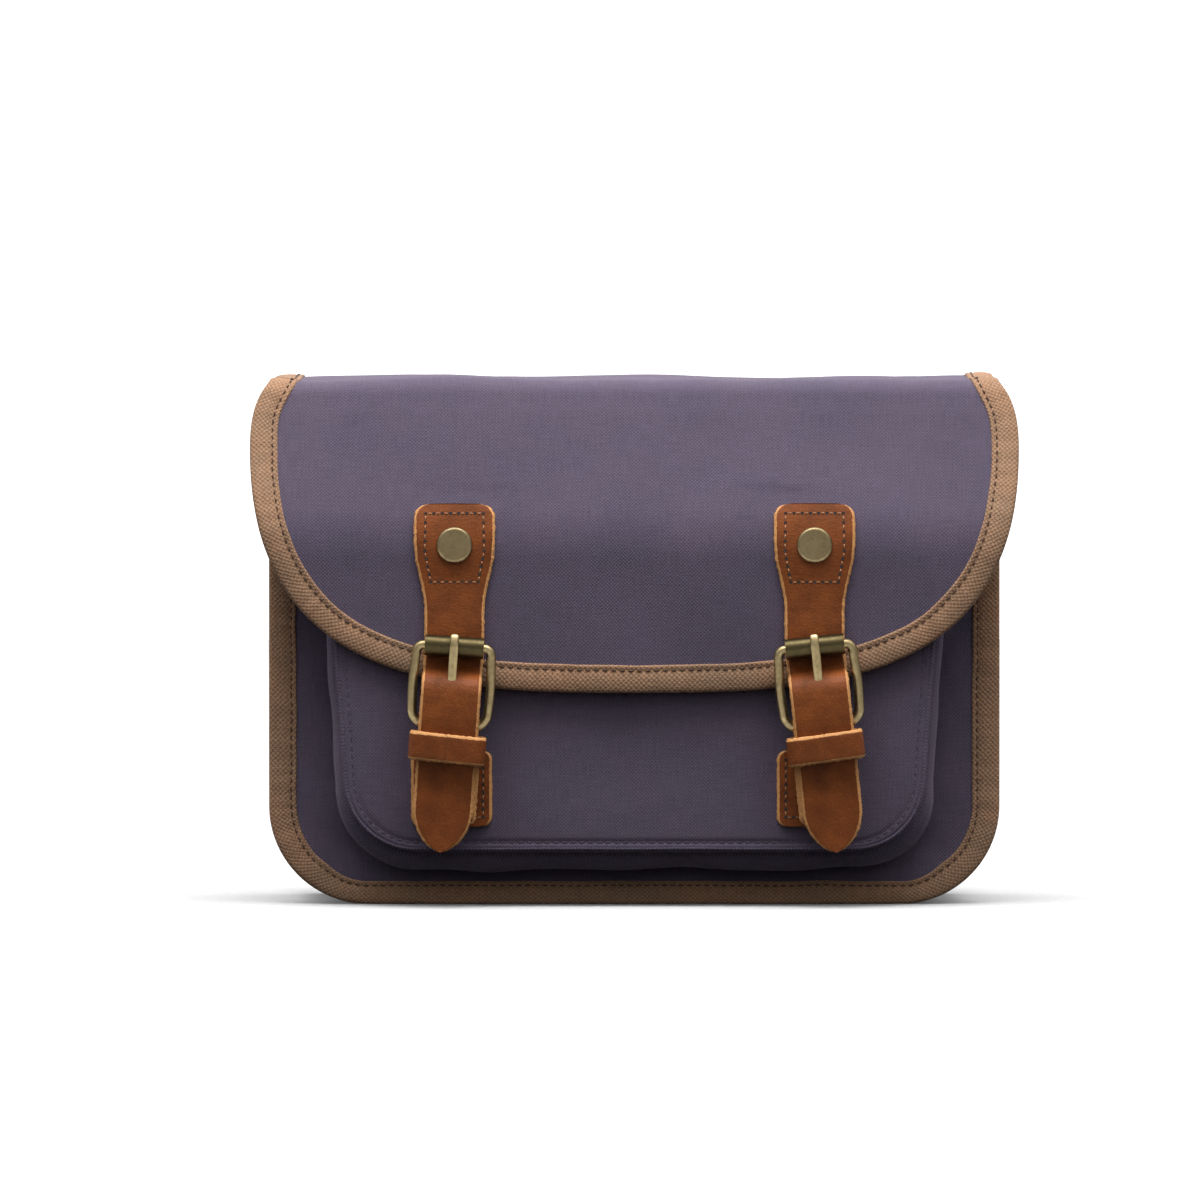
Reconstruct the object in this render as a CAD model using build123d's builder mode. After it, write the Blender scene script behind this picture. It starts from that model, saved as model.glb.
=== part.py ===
from build123d import *
from math import atan2, cos, radians, sin, tan
import os

os.makedirs("parts", exist_ok=True)

# A small canvas messenger bag, closed and standing, in millimetres.
# +X is to the right of someone who faces the front, the front faces -Y, +Z is up and z = 0 is the ground.
# "forward" is a distance towards the front, measured from the middle of the body's depth.

# ---- cloth, leather and metal stock ----
canvas = 1.2
lining_cloth = 0.6
flap_lining_cloth = 0.8
tape = 0.8
tape_cover = 9.3
foam = 3.0
strap_leather = 2.0
tab_leather = 1.8
patch_leather = 2.0
wire_radius = 1.6
ring_wire_radius = 1.5

# ---- clearances ----
hinge_gap = 0.3
running_clearance = 0.06
layer_gap = 0.5
lining_gap = 0.8
slot_gap = 0.5

# ---- body ----
body_half_width = 122.6
body_depth = 72.0
body_corner = 33.0
mouth_height = 166.0
seam_allowance = 8.0
trim_height = 1.2
trim_skirt = 10.0
board_thickness = 2.0
board_setback = 30.0

# ---- slip pocket inside, against the back ----
slip_half_width = 70.0
slip_bottom = 40.0
slip_top = 120.0
slip_depth = 8.0
slip_cloth = 0.8

# ---- front pocket ----
pocket_depth = 21.4
pocket_inset = 20.0
pocket_foot_inset = 27.0
pocket_side_share = 0.6
pocket_bottom = 18.3
pocket_corner = 24.0
pocket_root_growth = 5.0
pocket_top = 122.0
pocket_hem_height = 10.0
pocket_hem_tape = 0.6

# ---- flap ----
flap_overhang = 6.0
flap_bottom = 71.7
flap_widest_height = 155.0
flap_bulge_across = 63.0
flap_bulge_up = 82.0
bulge_share = 0.55
flap_shoulder_inset = 1.0
flap_side_run = 11.0
flap_side_draw = 6.0
flap_side_ease = 2.3
flap_top_margin = 1.5
overall_height = 177.0
flap_clearance = 1.1
flap_fold_overhang = 4.0
flap_fold_radius = 9.0
flap_bend_height = 125.0
flap_bend_radius = 43.0
flap_split_setback = 10.0

# ---- straps, as far out from the middle as strap_x ----
strap_x = 60.0
strap_half_width = 10.0
strap_lean = {"left": 4.0, "right": 6.1}
head_leather = 2.2
head_top = 134.0
head_half_width = 13.6
head_corner = 5.0
head_waist_height = 119.0
head_end = 105.0
rivet_height = 120.8
rivet_radius = 6.0
rivet_dome = 1.6
rivet_rounding = 1.1
rivet_post_radius = 2.0
rivet_washer_radius = 5.0
rivet_washer = 0.5

# ---- roller buckle; heights on the strap are counted from the roller's axis ----
roller_height = 87.3
roller_radius = 3.5
roller_length = 19.6
buckle_half_width = 12.3
buckle_side_bulge = 0.8
buckle_length = 26.3
buckle_corner = 2.4
heel_corner = 5.0
buckle_side_radius = 80.0
loop_start_step = 0.001
prong_width = 3.0
prong_thickness = 2.4
prong_loop = 1.4
prong_rest = 0.5
prong_hook = 0.9
prong_bend_radius = 4.0
slot_top = -5.5
slot_bottom = -21.5
tip_drop = 68.4
tip_point_length = 10.0
tab_clearance = 0.1
tab_drop = 59.7
tab_start = 1.0
keeper_drop = 29.0
keeper_height = 9.6
keeper_clearance = 0.9
keeper_rise = 5.8
heel_clearance = 1.1

# ---- bends in the strap's side path: how far forward of its bar, and how far below the roller ----
neck_rise = 1.0
neck_drop = 1.5
dive_step = 3.4
dive_drop = 3.9
lift_step = 1.4
lift_drop = 7.3
crest_step = 0.2
crest_height = 10.0
heel_height = 2.0
keeper_entry_step = 1.6
keeper_entry_drop = 4.0
tip_step = 0.8
tip_bend_drop = 14.0
neck_bend_radius = 1.2
dive_bend_radius = 2.5
crest_bend_radius = 6.0
heel_bend_radius = 20.0
tip_bend_radius = 12.0

# ---- snap behind each strap, and the patch that carries its socket ----
snap_drop = 47.0
snap_radius = 7.0
snap_plate = 1.5
snap_stub = 0.8
snap_stub_radius = 3.0
socket_hole_radius = 4.0
socket_height = 2.5
patch_offset = 1.0
patch_half_width = 13.5
patch_bottom = 27.1
patch_height = 25.2
patch_corner = 3.0

# ---- side tabs and D-rings for a shoulder strap ----
ring_height = 130.0
ring_inner_width = 21.0
ring_drop = 19.0
ring_bar_corner = 2.0
ring_bow_radius = 9.5
side_tab_width = 20.0
side_tab_top = 158.0
side_tab_leather = 1.6
side_tab_start = 2.0
side_rivet_height = 149.0
side_rivet_radius = 4.0
side_rivet_post_radius = 1.6
side_rivet_dome = 1.2

# ---- worked out from the above ----
face_forward = body_depth / 2
pocket_face_forward = face_forward + pocket_depth
patch_face = pocket_face_forward + patch_leather
flap_stock = canvas + flap_lining_cloth
flap_forward = pocket_face_forward + flap_clearance + tape + flap_stock
flap_fold_forward = face_forward + flap_fold_overhang
flap_split_forward = face_forward - flap_split_setback
neck_forward = flap_forward + tape + hinge_gap + strap_leather / 2
buckle_forward = neck_forward + strap_leather / 2 + hinge_gap + roller_radius
bore_radius = wire_radius + running_clearance
heel_pass = bore_radius + tab_leather + heel_clearance + strap_leather / 2
heel_forward = buckle_forward + heel_pass
tab_forward = patch_face + socket_height + hinge_gap + snap_plate
keeper_back = tab_forward - tab_clearance - strap_leather
keeper_front = buckle_forward + keeper_rise + strap_leather
keeper_half_width = strap_half_width + keeper_clearance + strap_leather
patch_x = strap_x + patch_offset
body_front = keeper_front
body_back = face_forward + tape
middle_y = (body_front - body_back) / 2
wall_half_width = body_half_width - seam_allowance
lining_half_width = wall_half_width - canvas - lining_gap
lining_depth = face_forward - canvas - foam - layer_gap
lining_inset = body_half_width - lining_half_width
board_bottom = seam_allowance + canvas
lining_bottom = board_bottom + board_thickness + hinge_gap
flap_fall = atan2(overall_height - flap_bend_height, flap_forward - flap_fold_forward)
flap_underside = overall_height - flap_stock - tape
flap_half_width = body_half_width + flap_overhang
flap_shoulder_half_width = body_half_width - flap_shoulder_inset
pocket_half_width = body_half_width - pocket_inset
pocket_foot_half_width = body_half_width - pocket_foot_inset
board_half_width = wall_half_width - board_setback
back_panel_top = flap_underside - hinge_gap
back_top_half_width = flap_shoulder_half_width - tape_cover
far = 300.0
sides = (("left", -1), ("right", 1))


def save(piece, name):
    """Label a finished piece and write it to its own file."""
    piece.part.label = name
    export_step(piece.part, f"parts/{name}.step")


def facing(forward, x=0.0, z=0.0, lean=0.0):
    """A plane that faces the front, so far forward; lean turns its X axis up, in degrees."""
    across = (cos(radians(lean)), 0, sin(radians(lean)))
    return Plane(origin=(x, middle_y - forward, z), x_dir=across, z_dir=(0, -1, 0))


def side_section(x=0.0, z=0.0, lean=0.0):
    """A plane seen from the side: its local X is forward and its local Y is up the strap."""
    across = (-cos(radians(lean)), 0, -sin(radians(lean)))
    return Plane(origin=(x, middle_y, z), x_dir=(0, -1, 0), z_dir=across)


def pouch_shape(inset, top=mouth_height, mode=Mode.ADD):
    """The body's front outline, drawn in from its edge by inset, with an open top edge."""
    half = body_half_width - inset
    radius = max(body_corner - inset, canvas)
    with BuildLine() as outline:
        FilletPolyline((half, top), (half, inset), (-half, inset), (-half, top), radius=radius)
        Line((-half, top), (half, top))
    make_face(outline.line.edges(), mode=mode)


def pocket_shape(grow, top=pocket_top, mode=Mode.ADD):
    """The front pocket's outline, narrower at its foot, grown downward by grow and less sideways."""
    half = pocket_half_width + grow * pocket_side_share
    foot = pocket_foot_half_width + grow * pocket_side_share
    low = pocket_bottom - grow
    with BuildLine() as outline:
        FilletPolyline((half, top), (foot, low), (-foot, low), (-half, top), radius=pocket_corner + grow)
        Line((-half, top), (half, top))
    make_face(outline.line.edges(), mode=mode)


def flap_shape(inset, mode=Mode.ADD):
    """The flap's front outline with its deep curved lower edge, drawn in by inset."""
    half = flap_half_width - inset
    shoulder = flap_shoulder_half_width - inset
    low = flap_bottom + inset
    across = flap_bulge_across - inset * bulge_share
    up = flap_bulge_up - inset * bulge_share
    side_top = overall_height + flap_top_margin
    with BuildLine() as outline:
        for sign in (1, -1):
            Bezier((0, low), (sign * across, low), (sign * half, flap_widest_height - up),
                   (sign * half, flap_widest_height))
            Bezier((sign * half, flap_widest_height), (sign * half, overall_height - flap_side_run),
                   (sign * (half - flap_side_ease), overall_height - flap_side_draw),
                   (sign * shoulder, side_top))
            Line((sign * shoulder, side_top), (sign * shoulder, far))
        Line((-shoulder, far), (shoulder, far))
    make_face(outline.line.edges(), mode=mode)


def flap_layer(outer, inner):
    """The side section of one layer of the flap, between two depths under its outer face."""
    fold_turn = flap_fall
    bend_turn = radians(90) - flap_fall

    def surface(depth):
        fold = (flap_fold_forward - depth * tan(fold_turn / 2), overall_height - depth)
        bend = (flap_forward - depth, flap_bend_height - depth * tan(bend_turn / 2))
        start = (-face_forward, overall_height - depth)
        end = (flap_forward - depth, 0)
        radii = (flap_fold_radius - depth, flap_bend_radius - depth)
        FilletPolyline(start, fold, bend, end, radius=radii)
        return start, end

    with BuildLine() as outline:
        outer_start, outer_end = surface(outer)
        inner_start, inner_end = surface(inner)
        Line(outer_start, inner_start)
        Line(outer_end, inner_end)
    make_face(outline.line.edges())


def flap_sheet(inset, outer, inner):
    """A sheet of the flap: its outline cut through one layer of its side section."""
    with BuildPart() as sheet:
        with BuildSketch(side_section()):
            flap_layer(outer, inner)
        extrude(amount=far, both=True)
        with BuildSketch(facing(-far / 2)):
            flap_shape(inset)
        extrude(amount=far, mode=Mode.INTERSECT)
    return sheet.part


def flap_tape():
    """The edge tape folded round the flap's edge, with the cloth's space left in it."""
    with BuildPart() as edge:
        add(flap_sheet(0, -tape, flap_stock + tape))
        with BuildSketch(facing(-far / 2)):
            flap_shape(tape_cover)
        extrude(amount=far, mode=Mode.SUBTRACT)
        add(flap_sheet(tape, 0, flap_stock), mode=Mode.SUBTRACT)
    return edge.part


def rivet_plane(sign):
    """The flap's own surface under a strap's rivet, square to the cloth there."""
    bend_start = flap_bend_height - flap_bend_radius * tan((radians(90) - flap_fall) / 2)
    tilt = (rivet_height - bend_start) / flap_bend_radius
    recess = flap_bend_radius * (1 - cos(tilt))
    centre = (sign * strap_x, middle_y - flap_forward + recess, rivet_height)
    return Plane(origin=centre, x_dir=(1, 0, 0), z_dir=(0, -cos(tilt), sin(tilt)))


front_fold = facing(flap_split_forward + hinge_gap / 2)
top_front_edge = facing(flap_split_forward - hinge_gap / 2)
back_seam = facing(hinge_gap - face_forward)
rivet_planes = (rivet_plane(-1), rivet_plane(1))

# ================= body =================

with BuildPart() as front_panel:
    with BuildSketch(facing(face_forward - canvas)):
        pouch_shape(tape)
    extrude(amount=canvas)
save(front_panel, "front_panel")

# The back panel runs up past the mouth to the flap's seam.
with BuildPart() as back_panel:
    with BuildSketch(facing(-face_forward)):
        pouch_shape(tape)
        with Locations((0, (mouth_height - tape + back_panel_top) / 2)):
            Rectangle(2 * back_top_half_width, back_panel_top - mouth_height + tape)
    extrude(amount=canvas)
save(back_panel, "back_panel")

with BuildPart() as gusset:
    with BuildSketch(facing(-face_forward + canvas)):
        pouch_shape(seam_allowance)
        pouch_shape(seam_allowance + canvas, mode=Mode.SUBTRACT)
    extrude(amount=body_depth - 2 * canvas)
    with BuildSketch(facing(canvas - face_forward), facing(face_forward - 2 * canvas)):
        pouch_shape(tape)
        pouch_shape(seam_allowance + canvas, mode=Mode.SUBTRACT)
    extrude(amount=canvas)
    with Locations(Plane.YZ):
        with Locations((middle_y, side_rivet_height)):
            Cylinder(side_rivet_post_radius, 2 * body_half_width, mode=Mode.SUBTRACT)
save(gusset, "gusset")

# Each seam flange is wrapped in tape: a wide face outside, a band round the edge and a narrow face inside.
for label, outer_face, step in (("front_binding", face_forward, 1), ("back_binding", -face_forward, -1)):
    with BuildPart() as binding:
        with BuildSketch(facing(outer_face)):
            pouch_shape(0)
            pouch_shape(tape_cover, mode=Mode.SUBTRACT)
        extrude(amount=step * tape)
        with BuildSketch(facing(outer_face)):
            pouch_shape(0)
            pouch_shape(tape, mode=Mode.SUBTRACT)
        extrude(amount=-step * (2 * canvas + tape))
        with BuildSketch(facing(outer_face - step * 2 * canvas)):
            pouch_shape(0)
            pouch_shape(seam_allowance - hinge_gap, mode=Mode.SUBTRACT)
        extrude(amount=-step * tape)
    save(binding, label)

padding_starts = (("front_padding", face_forward - canvas - foam), ("back_padding", canvas - face_forward))
for label, start in padding_starts:
    with BuildPart() as padding:
        with BuildSketch(facing(start)):
            pouch_shape(seam_allowance + 2 * canvas, top=mouth_height - trim_skirt)
        extrude(amount=foam)
    save(padding, label)

with BuildPart() as base_board:
    with BuildSketch(Plane.XY.offset(board_bottom)):
        with Locations((0, middle_y)):
            RectangleRounded(2 * board_half_width, 2 * (lining_depth - layer_gap), patch_corner)
    extrude(amount=board_thickness)
save(base_board, "base_board")

with BuildPart() as lining:
    with BuildSketch(facing(-lining_depth)):
        pouch_shape(lining_inset)
        with Locations((0, 0)):
            Rectangle(2 * far, 2 * lining_bottom, mode=Mode.SUBTRACT)
    extrude(amount=2 * lining_depth)
    with BuildSketch(facing(lining_cloth - lining_depth)):
        pouch_shape(lining_inset + lining_cloth, top=far)
        with Locations((0, 0)):
            Rectangle(2 * far, 2 * (lining_bottom + lining_cloth), mode=Mode.SUBTRACT)
    extrude(amount=2 * (lining_depth - lining_cloth), mode=Mode.SUBTRACT)
save(lining, "lining")

with BuildPart() as slip_pocket:
    with BuildSketch(facing(lining_cloth - lining_depth)):
        with Locations((0, (slip_bottom + slip_top) / 2)):
            Rectangle(2 * slip_half_width, slip_top - slip_bottom)
    extrude(amount=slip_depth)
    with BuildSketch(facing(lining_cloth - lining_depth)):
        with Locations((0, (slip_bottom + slip_cloth + far) / 2)):
            Rectangle(2 * (slip_half_width - slip_cloth), far - slip_bottom - slip_cloth)
    extrude(amount=slip_depth - slip_cloth, mode=Mode.SUBTRACT)
save(slip_pocket, "slip_pocket")

# The mouth's facing caps the edges of body and lining and turns down inside the lining.
mouth_inner_half_width = lining_half_width - lining_cloth - tape
mouth_inner_depth = lining_depth - lining_cloth - tape
with BuildPart() as mouth_trim:
    with BuildSketch(Plane.XY.offset(mouth_height)):
        with Locations((0, middle_y)):
            Rectangle(2 * wall_half_width, body_depth - 2 * canvas)
            Rectangle(2 * mouth_inner_half_width, 2 * mouth_inner_depth, mode=Mode.SUBTRACT)
    extrude(amount=trim_height)
    with BuildSketch(Plane.XY.offset(mouth_height)):
        with Locations((0, middle_y)):
            Rectangle(2 * (mouth_inner_half_width + tape), 2 * (mouth_inner_depth + tape))
            Rectangle(2 * mouth_inner_half_width, 2 * mouth_inner_depth, mode=Mode.SUBTRACT)
    extrude(amount=-trim_skirt)
save(mouth_trim, "mouth_trim")

# ================= front pocket =================

with BuildPart() as pocket_face:
    with BuildSketch(facing(pocket_face_forward - canvas)):
        pocket_shape(0)
    extrude(amount=canvas)
save(pocket_face, "pocket_face")

with BuildPart() as pocket_gusset:
    with BuildSketch(facing(face_forward)):
        pocket_shape(pocket_root_growth)
    with BuildSketch(facing(pocket_face_forward - canvas)):
        pocket_shape(0)
    loft(ruled=True)
    with BuildSketch(facing(face_forward)):
        pocket_shape(pocket_root_growth - canvas, top=pocket_top + canvas)
    with BuildSketch(facing(pocket_face_forward - canvas)):
        pocket_shape(-canvas, top=pocket_top + canvas)
    loft(ruled=True, mode=Mode.SUBTRACT)
save(pocket_gusset, "pocket_gusset")

with BuildPart() as pocket_hem:
    with BuildSketch(side_section()):
        with Locations((pocket_face_forward - canvas / 2, pocket_top - pocket_hem_height / 2)):
            Rectangle(canvas + 2 * pocket_hem_tape, pocket_hem_height + 2 * pocket_hem_tape)
        with Locations((pocket_face_forward - canvas / 2, pocket_top - pocket_hem_height / 2)):
            Rectangle(canvas, pocket_hem_height, mode=Mode.SUBTRACT)
        with Locations((pocket_face_forward - canvas / 2, pocket_top - pocket_hem_height)):
            Rectangle(canvas, 4 * pocket_hem_tape, mode=Mode.SUBTRACT)
    extrude(amount=pocket_half_width - canvas - tape, both=True)
save(pocket_hem, "pocket_hem")

# ================= flap =================

with BuildPart() as flap_top:
    add(flap_sheet(tape, 0, canvas))
    split(bisect_by=top_front_edge, keep=Keep.BOTTOM)
    split(bisect_by=back_seam, keep=Keep.TOP)
save(flap_top, "flap_top")

with BuildPart() as flap_top_lining:
    add(flap_sheet(tape, canvas, flap_stock))
    split(bisect_by=top_front_edge, keep=Keep.BOTTOM)
    split(bisect_by=back_seam, keep=Keep.TOP)
save(flap_top_lining, "flap_top_lining")

with BuildPart() as flap_top_binding:
    add(flap_tape())
    split(bisect_by=top_front_edge, keep=Keep.BOTTOM)
    split(bisect_by=back_seam, keep=Keep.TOP)
save(flap_top_binding, "flap_top_binding")

with BuildPart() as flap_front:
    add(flap_sheet(tape, 0, canvas))
    split(bisect_by=front_fold, keep=Keep.TOP)
    with BuildSketch(*rivet_planes):
        Circle(rivet_post_radius)
    extrude(amount=2 * flap_stock, both=True, mode=Mode.SUBTRACT)
save(flap_front, "flap_front")

with BuildPart() as flap_front_lining:
    add(flap_sheet(tape, canvas, flap_stock))
    split(bisect_by=front_fold, keep=Keep.TOP)
    with BuildSketch(*rivet_planes):
        Circle(rivet_post_radius)
    extrude(amount=2 * flap_stock, both=True, mode=Mode.SUBTRACT)
save(flap_front_lining, "flap_front_lining")

with BuildPart() as flap_binding:
    add(flap_tape())
    split(bisect_by=front_fold, keep=Keep.TOP)
save(flap_binding, "flap_binding")

# ================= straps, buckles, snaps and side rings =================

path_radii = (neck_bend_radius, dive_bend_radius, dive_bend_radius, crest_bend_radius)
path_radii += (heel_bend_radius, heel_bend_radius, tip_bend_radius)
for side, sign in sides:
    lean = sign * strap_lean[side]
    strap_section = side_section(sign * strap_x, roller_height, lean)

    # The strap's wide head follows the bend of the flap under it.
    with BuildPart() as strap_head:
        with BuildSketch(side_section(sign * strap_x)):
            flap_layer(-head_leather, 0)
        extrude(amount=2 * head_half_width, both=True)
        with BuildSketch(facing(0, sign * strap_x)):
            with BuildLine():
                FilletPolyline(
                    (-strap_half_width, head_end + hinge_gap / 2),
                    (-head_half_width, head_waist_height),
                    (-head_half_width, head_top),
                    (head_half_width, head_top),
                    (head_half_width, head_waist_height),
                    (strap_half_width, head_end + hinge_gap / 2),
                    radius=(2 * head_corner, head_corner, head_corner, 2 * head_corner),
                )
                Line(
                    (strap_half_width, head_end + hinge_gap / 2),
                    (-strap_half_width, head_end + hinge_gap / 2),
                )
            make_face()
        extrude(amount=far, mode=Mode.INTERSECT)
        with BuildSketch(rivet_plane(sign)):
            Circle(rivet_post_radius)
        extrude(amount=2 * head_leather, both=True, mode=Mode.SUBTRACT)
    save(strap_head, f"strap_head_{side}")

    with BuildPart() as rivet_cap:
        with BuildSketch(rivet_plane(sign).offset(head_leather)):
            Circle(rivet_radius)
        extrude(amount=rivet_dome)
        fillet(rivet_cap.faces().sort_by(Axis.Y)[0].edges(), rivet_rounding)
    save(rivet_cap, f"rivet_cap_{side}")

    with BuildPart() as rivet_post:
        with BuildSketch(rivet_plane(sign).offset(-flap_stock)):
            Circle(rivet_post_radius)
        extrude(amount=flap_stock + head_leather)
        with BuildSketch(rivet_plane(sign).offset(-flap_stock - rivet_washer)):
            Circle(rivet_washer_radius)
        extrude(amount=rivet_washer)
    save(rivet_post, f"rivet_post_{side}")

    # Down the neck, behind the roller, out over the heel bar and down to the tip.
    with BuildPart() as strap:
        with BuildSketch(strap_section):
            with BuildLine():
                FilletPolyline(
                    (neck_forward, neck_rise),
                    (neck_forward, -neck_drop),
                    (neck_forward + dive_step, -roller_radius - dive_drop),
                    (heel_forward - lift_step, -roller_radius - lift_drop),
                    (heel_forward - crest_step, crest_height - buckle_length),
                    (heel_forward, heel_height - buckle_length),
                    (heel_forward - keeper_entry_step, -keeper_drop - keeper_entry_drop),
                    (buckle_forward + tip_step, -keeper_drop - tip_bend_drop),
                    (buckle_forward + tip_step, -tip_drop),
                    radius=path_radii,
                )
            trace(line_width=strap_leather)
        extrude(amount=strap_half_width, both=True)
        with BuildSketch(facing(0, sign * strap_x, roller_height, lean)):
            with BuildLine():
                Polyline(
                    (-strap_half_width, tip_point_length - tip_drop),
                    (-strap_half_width, roller_radius),
                    (strap_half_width, roller_radius),
                    (strap_half_width, tip_point_length - tip_drop),
                )
                for edge in (1, -1):
                    Bezier(
                        (edge * strap_half_width, tip_point_length - tip_drop),
                        (edge * strap_half_width, tip_point_length / 2 - tip_drop),
                        (edge * strap_half_width / 2, -tip_drop),
                        (0, -tip_drop),
                    )
            make_face()
        extrude(amount=far, mode=Mode.INTERSECT)
        with BuildSketch(side_section(sign * strap_x, roller_height)):
            with Locations((neck_forward, (head_end - hinge_gap / 2 - roller_height) / 2)):
                Rectangle(strap_leather, head_end - hinge_gap / 2 - roller_height)
        extrude(amount=strap_half_width, both=True)
        with BuildSketch(facing(0, sign * strap_x, roller_height, lean)):
            with Locations((0, (slot_top + slot_bottom) / 2)):
                SlotOverall(slot_top - slot_bottom, prong_width + 2 * slot_gap, rotation=90)
        extrude(amount=far, mode=Mode.SUBTRACT)
    save(strap, f"strap_{side}")

    side_radii = (buckle_corner, buckle_side_radius, heel_corner)
    side_radii += (heel_corner, buckle_side_radius, buckle_corner)
    with BuildPart() as buckle_frame:
        with BuildLine(facing(buckle_forward, sign * strap_x, roller_height, lean)) as loop:
            FilletPolyline(
                (0, 0),
                (buckle_half_width, 0),
                (buckle_half_width + buckle_side_bulge, -buckle_length / 2),
                (buckle_half_width, -buckle_length),
                (-buckle_half_width, -buckle_length),
                (-buckle_half_width - buckle_side_bulge, -buckle_length / 2),
                (-buckle_half_width, 0),
                (loop_start_step, 0),
                radius=side_radii,
            )
        with BuildSketch(strap_section):
            with Locations((buckle_forward, 0)):
                Circle(wire_radius)
        sweep(path=loop.line)
    save(buckle_frame, f"buckle_frame_{side}")

    with BuildPart() as roller:
        with BuildSketch(strap_section):
            with Locations((buckle_forward, 0)):
                Circle(roller_radius)
                Circle(bore_radius, mode=Mode.SUBTRACT)
        extrude(amount=roller_length / 2, both=True)
    save(roller, f"roller_{side}")

    # The prong is hooked round the heel bar and lies through the strap onto the roller.
    loop_middle = bore_radius + prong_loop / 2
    prong_front = buckle_forward + roller_radius + layer_gap + prong_thickness / 2
    with BuildPart() as prong:
        with BuildSketch(strap_section):
            with Locations((buckle_forward, -buckle_length)):
                Circle(bore_radius + prong_loop)
            with BuildLine():
                FilletPolyline(
                    (buckle_forward + loop_middle, -buckle_length),
                    (prong_front, prong_rest),
                    (prong_front - prong_hook, roller_radius + prong_rest),
                    radius=prong_bend_radius,
                )
            trace(line_width=prong_thickness)
            with Locations((buckle_forward, -buckle_length)):
                Circle(bore_radius, mode=Mode.SUBTRACT)
        extrude(amount=prong_width / 2, both=True)
    save(prong, f"prong_{side}")

    # A doubled leather tab folds round the heel bar and is slotted there for the prong.
    with BuildPart() as buckle_tab:
        with BuildSketch(strap_section):
            with Locations((tab_forward + tab_leather, -(buckle_length + tab_start + tab_drop) / 2)):
                Rectangle(2 * tab_leather, tab_drop - buckle_length - tab_start)
            with Locations((buckle_forward, -buckle_length)):
                Circle(bore_radius + tab_leather)
                Circle(bore_radius, mode=Mode.SUBTRACT)
        extrude(amount=strap_half_width, both=True)
        with BuildSketch(facing(0, sign * strap_x, roller_height, lean)):
            with Locations((0, -buckle_length)):
                Rectangle(prong_width + 2 * slot_gap, 2 * (bore_radius + tab_leather + tab_start))
        extrude(amount=far, mode=Mode.SUBTRACT)
    save(buckle_tab, f"buckle_tab_{side}")

    # The keeper is a closed leather band round the strap and the tab.
    across_strap = Plane(
        origin=strap_section.from_local_coords((0, -keeper_drop - keeper_height, 0)),
        x_dir=(cos(radians(lean)), 0, sin(radians(lean))),
        z_dir=(-sin(radians(lean)), 0, cos(radians(lean))),
    )
    with BuildPart() as keeper:
        with BuildSketch(across_strap):
            with Locations((0, -(keeper_back + keeper_front) / 2)):
                RectangleRounded(2 * keeper_half_width, keeper_front - keeper_back, strap_leather)
                RectangleRounded(
                    2 * (keeper_half_width - strap_leather),
                    keeper_front - keeper_back - 2 * strap_leather,
                    strap_leather / 3,
                    mode=Mode.SUBTRACT,
                )
        extrude(amount=keeper_height)
    save(keeper, f"keeper_{side}")

    snap_back = facing(tab_forward - snap_plate, sign * strap_x, roller_height, lean)
    with BuildPart() as snap_stud:
        with BuildSketch(snap_back):
            with Locations((0, -snap_drop)):
                Circle(snap_radius)
        extrude(amount=snap_plate)
        with BuildSketch(snap_back):
            with Locations((0, -snap_drop)):
                Circle(snap_stub_radius)
        extrude(amount=-snap_stub)
    save(snap_stud, f"snap_stud_{side}")

    with BuildPart() as closure_patch:
        with BuildSketch(facing(pocket_face_forward)):
            with Locations((sign * patch_x, patch_bottom + patch_height / 2)):
                RectangleRounded(2 * patch_half_width, patch_height, patch_corner)
        extrude(amount=patch_leather)
    save(closure_patch, f"closure_patch_{side}")

    with BuildPart() as snap_socket:
        with BuildSketch(facing(patch_face, sign * strap_x, roller_height, lean)):
            with Locations((0, -snap_drop)):
                Circle(snap_radius)
                Circle(socket_hole_radius, mode=Mode.SUBTRACT)
        extrude(amount=socket_height)
    save(snap_socket, f"snap_socket_{side}")

    # The side tab folds round the ring's straight bar and is riveted through the gusset.
    tab_inside = sign * wall_half_width
    side_tab_middle = (side_tab_top + ring_height + side_tab_start) / 2
    ring_bore = ring_wire_radius + running_clearance
    ring_x = sign * (wall_half_width + ring_bore + side_tab_leather + hinge_gap)
    with BuildPart() as side_tab:
        with BuildSketch(facing(0)):
            with Locations((tab_inside + sign * side_tab_leather, side_tab_middle)):
                Rectangle(2 * side_tab_leather, side_tab_top - ring_height - side_tab_start)
            with Locations((ring_x, ring_height)):
                Circle(ring_bore + side_tab_leather)
                Circle(ring_bore, mode=Mode.SUBTRACT)
        extrude(amount=side_tab_width / 2, both=True)
        with Locations(Plane.YZ):
            with Locations((middle_y, side_rivet_height)):
                Cylinder(side_rivet_post_radius, 2 * body_half_width, mode=Mode.SUBTRACT)
    save(side_tab, f"side_tab_{side}")

    with BuildPart() as side_rivet:
        with BuildSketch(Plane.YZ.offset(tab_inside - sign * (canvas + layer_gap))):
            with Locations((middle_y, side_rivet_height)):
                Circle(side_rivet_post_radius)
        extrude(amount=sign * (canvas + layer_gap + 2 * side_tab_leather))
        with BuildSketch(Plane.YZ.offset(tab_inside + sign * 2 * side_tab_leather)):
            with Locations((middle_y, side_rivet_height)):
                Circle(side_rivet_radius)
        extrude(amount=sign * side_rivet_dome)
    save(side_rivet, f"side_rivet_{side}")

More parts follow.
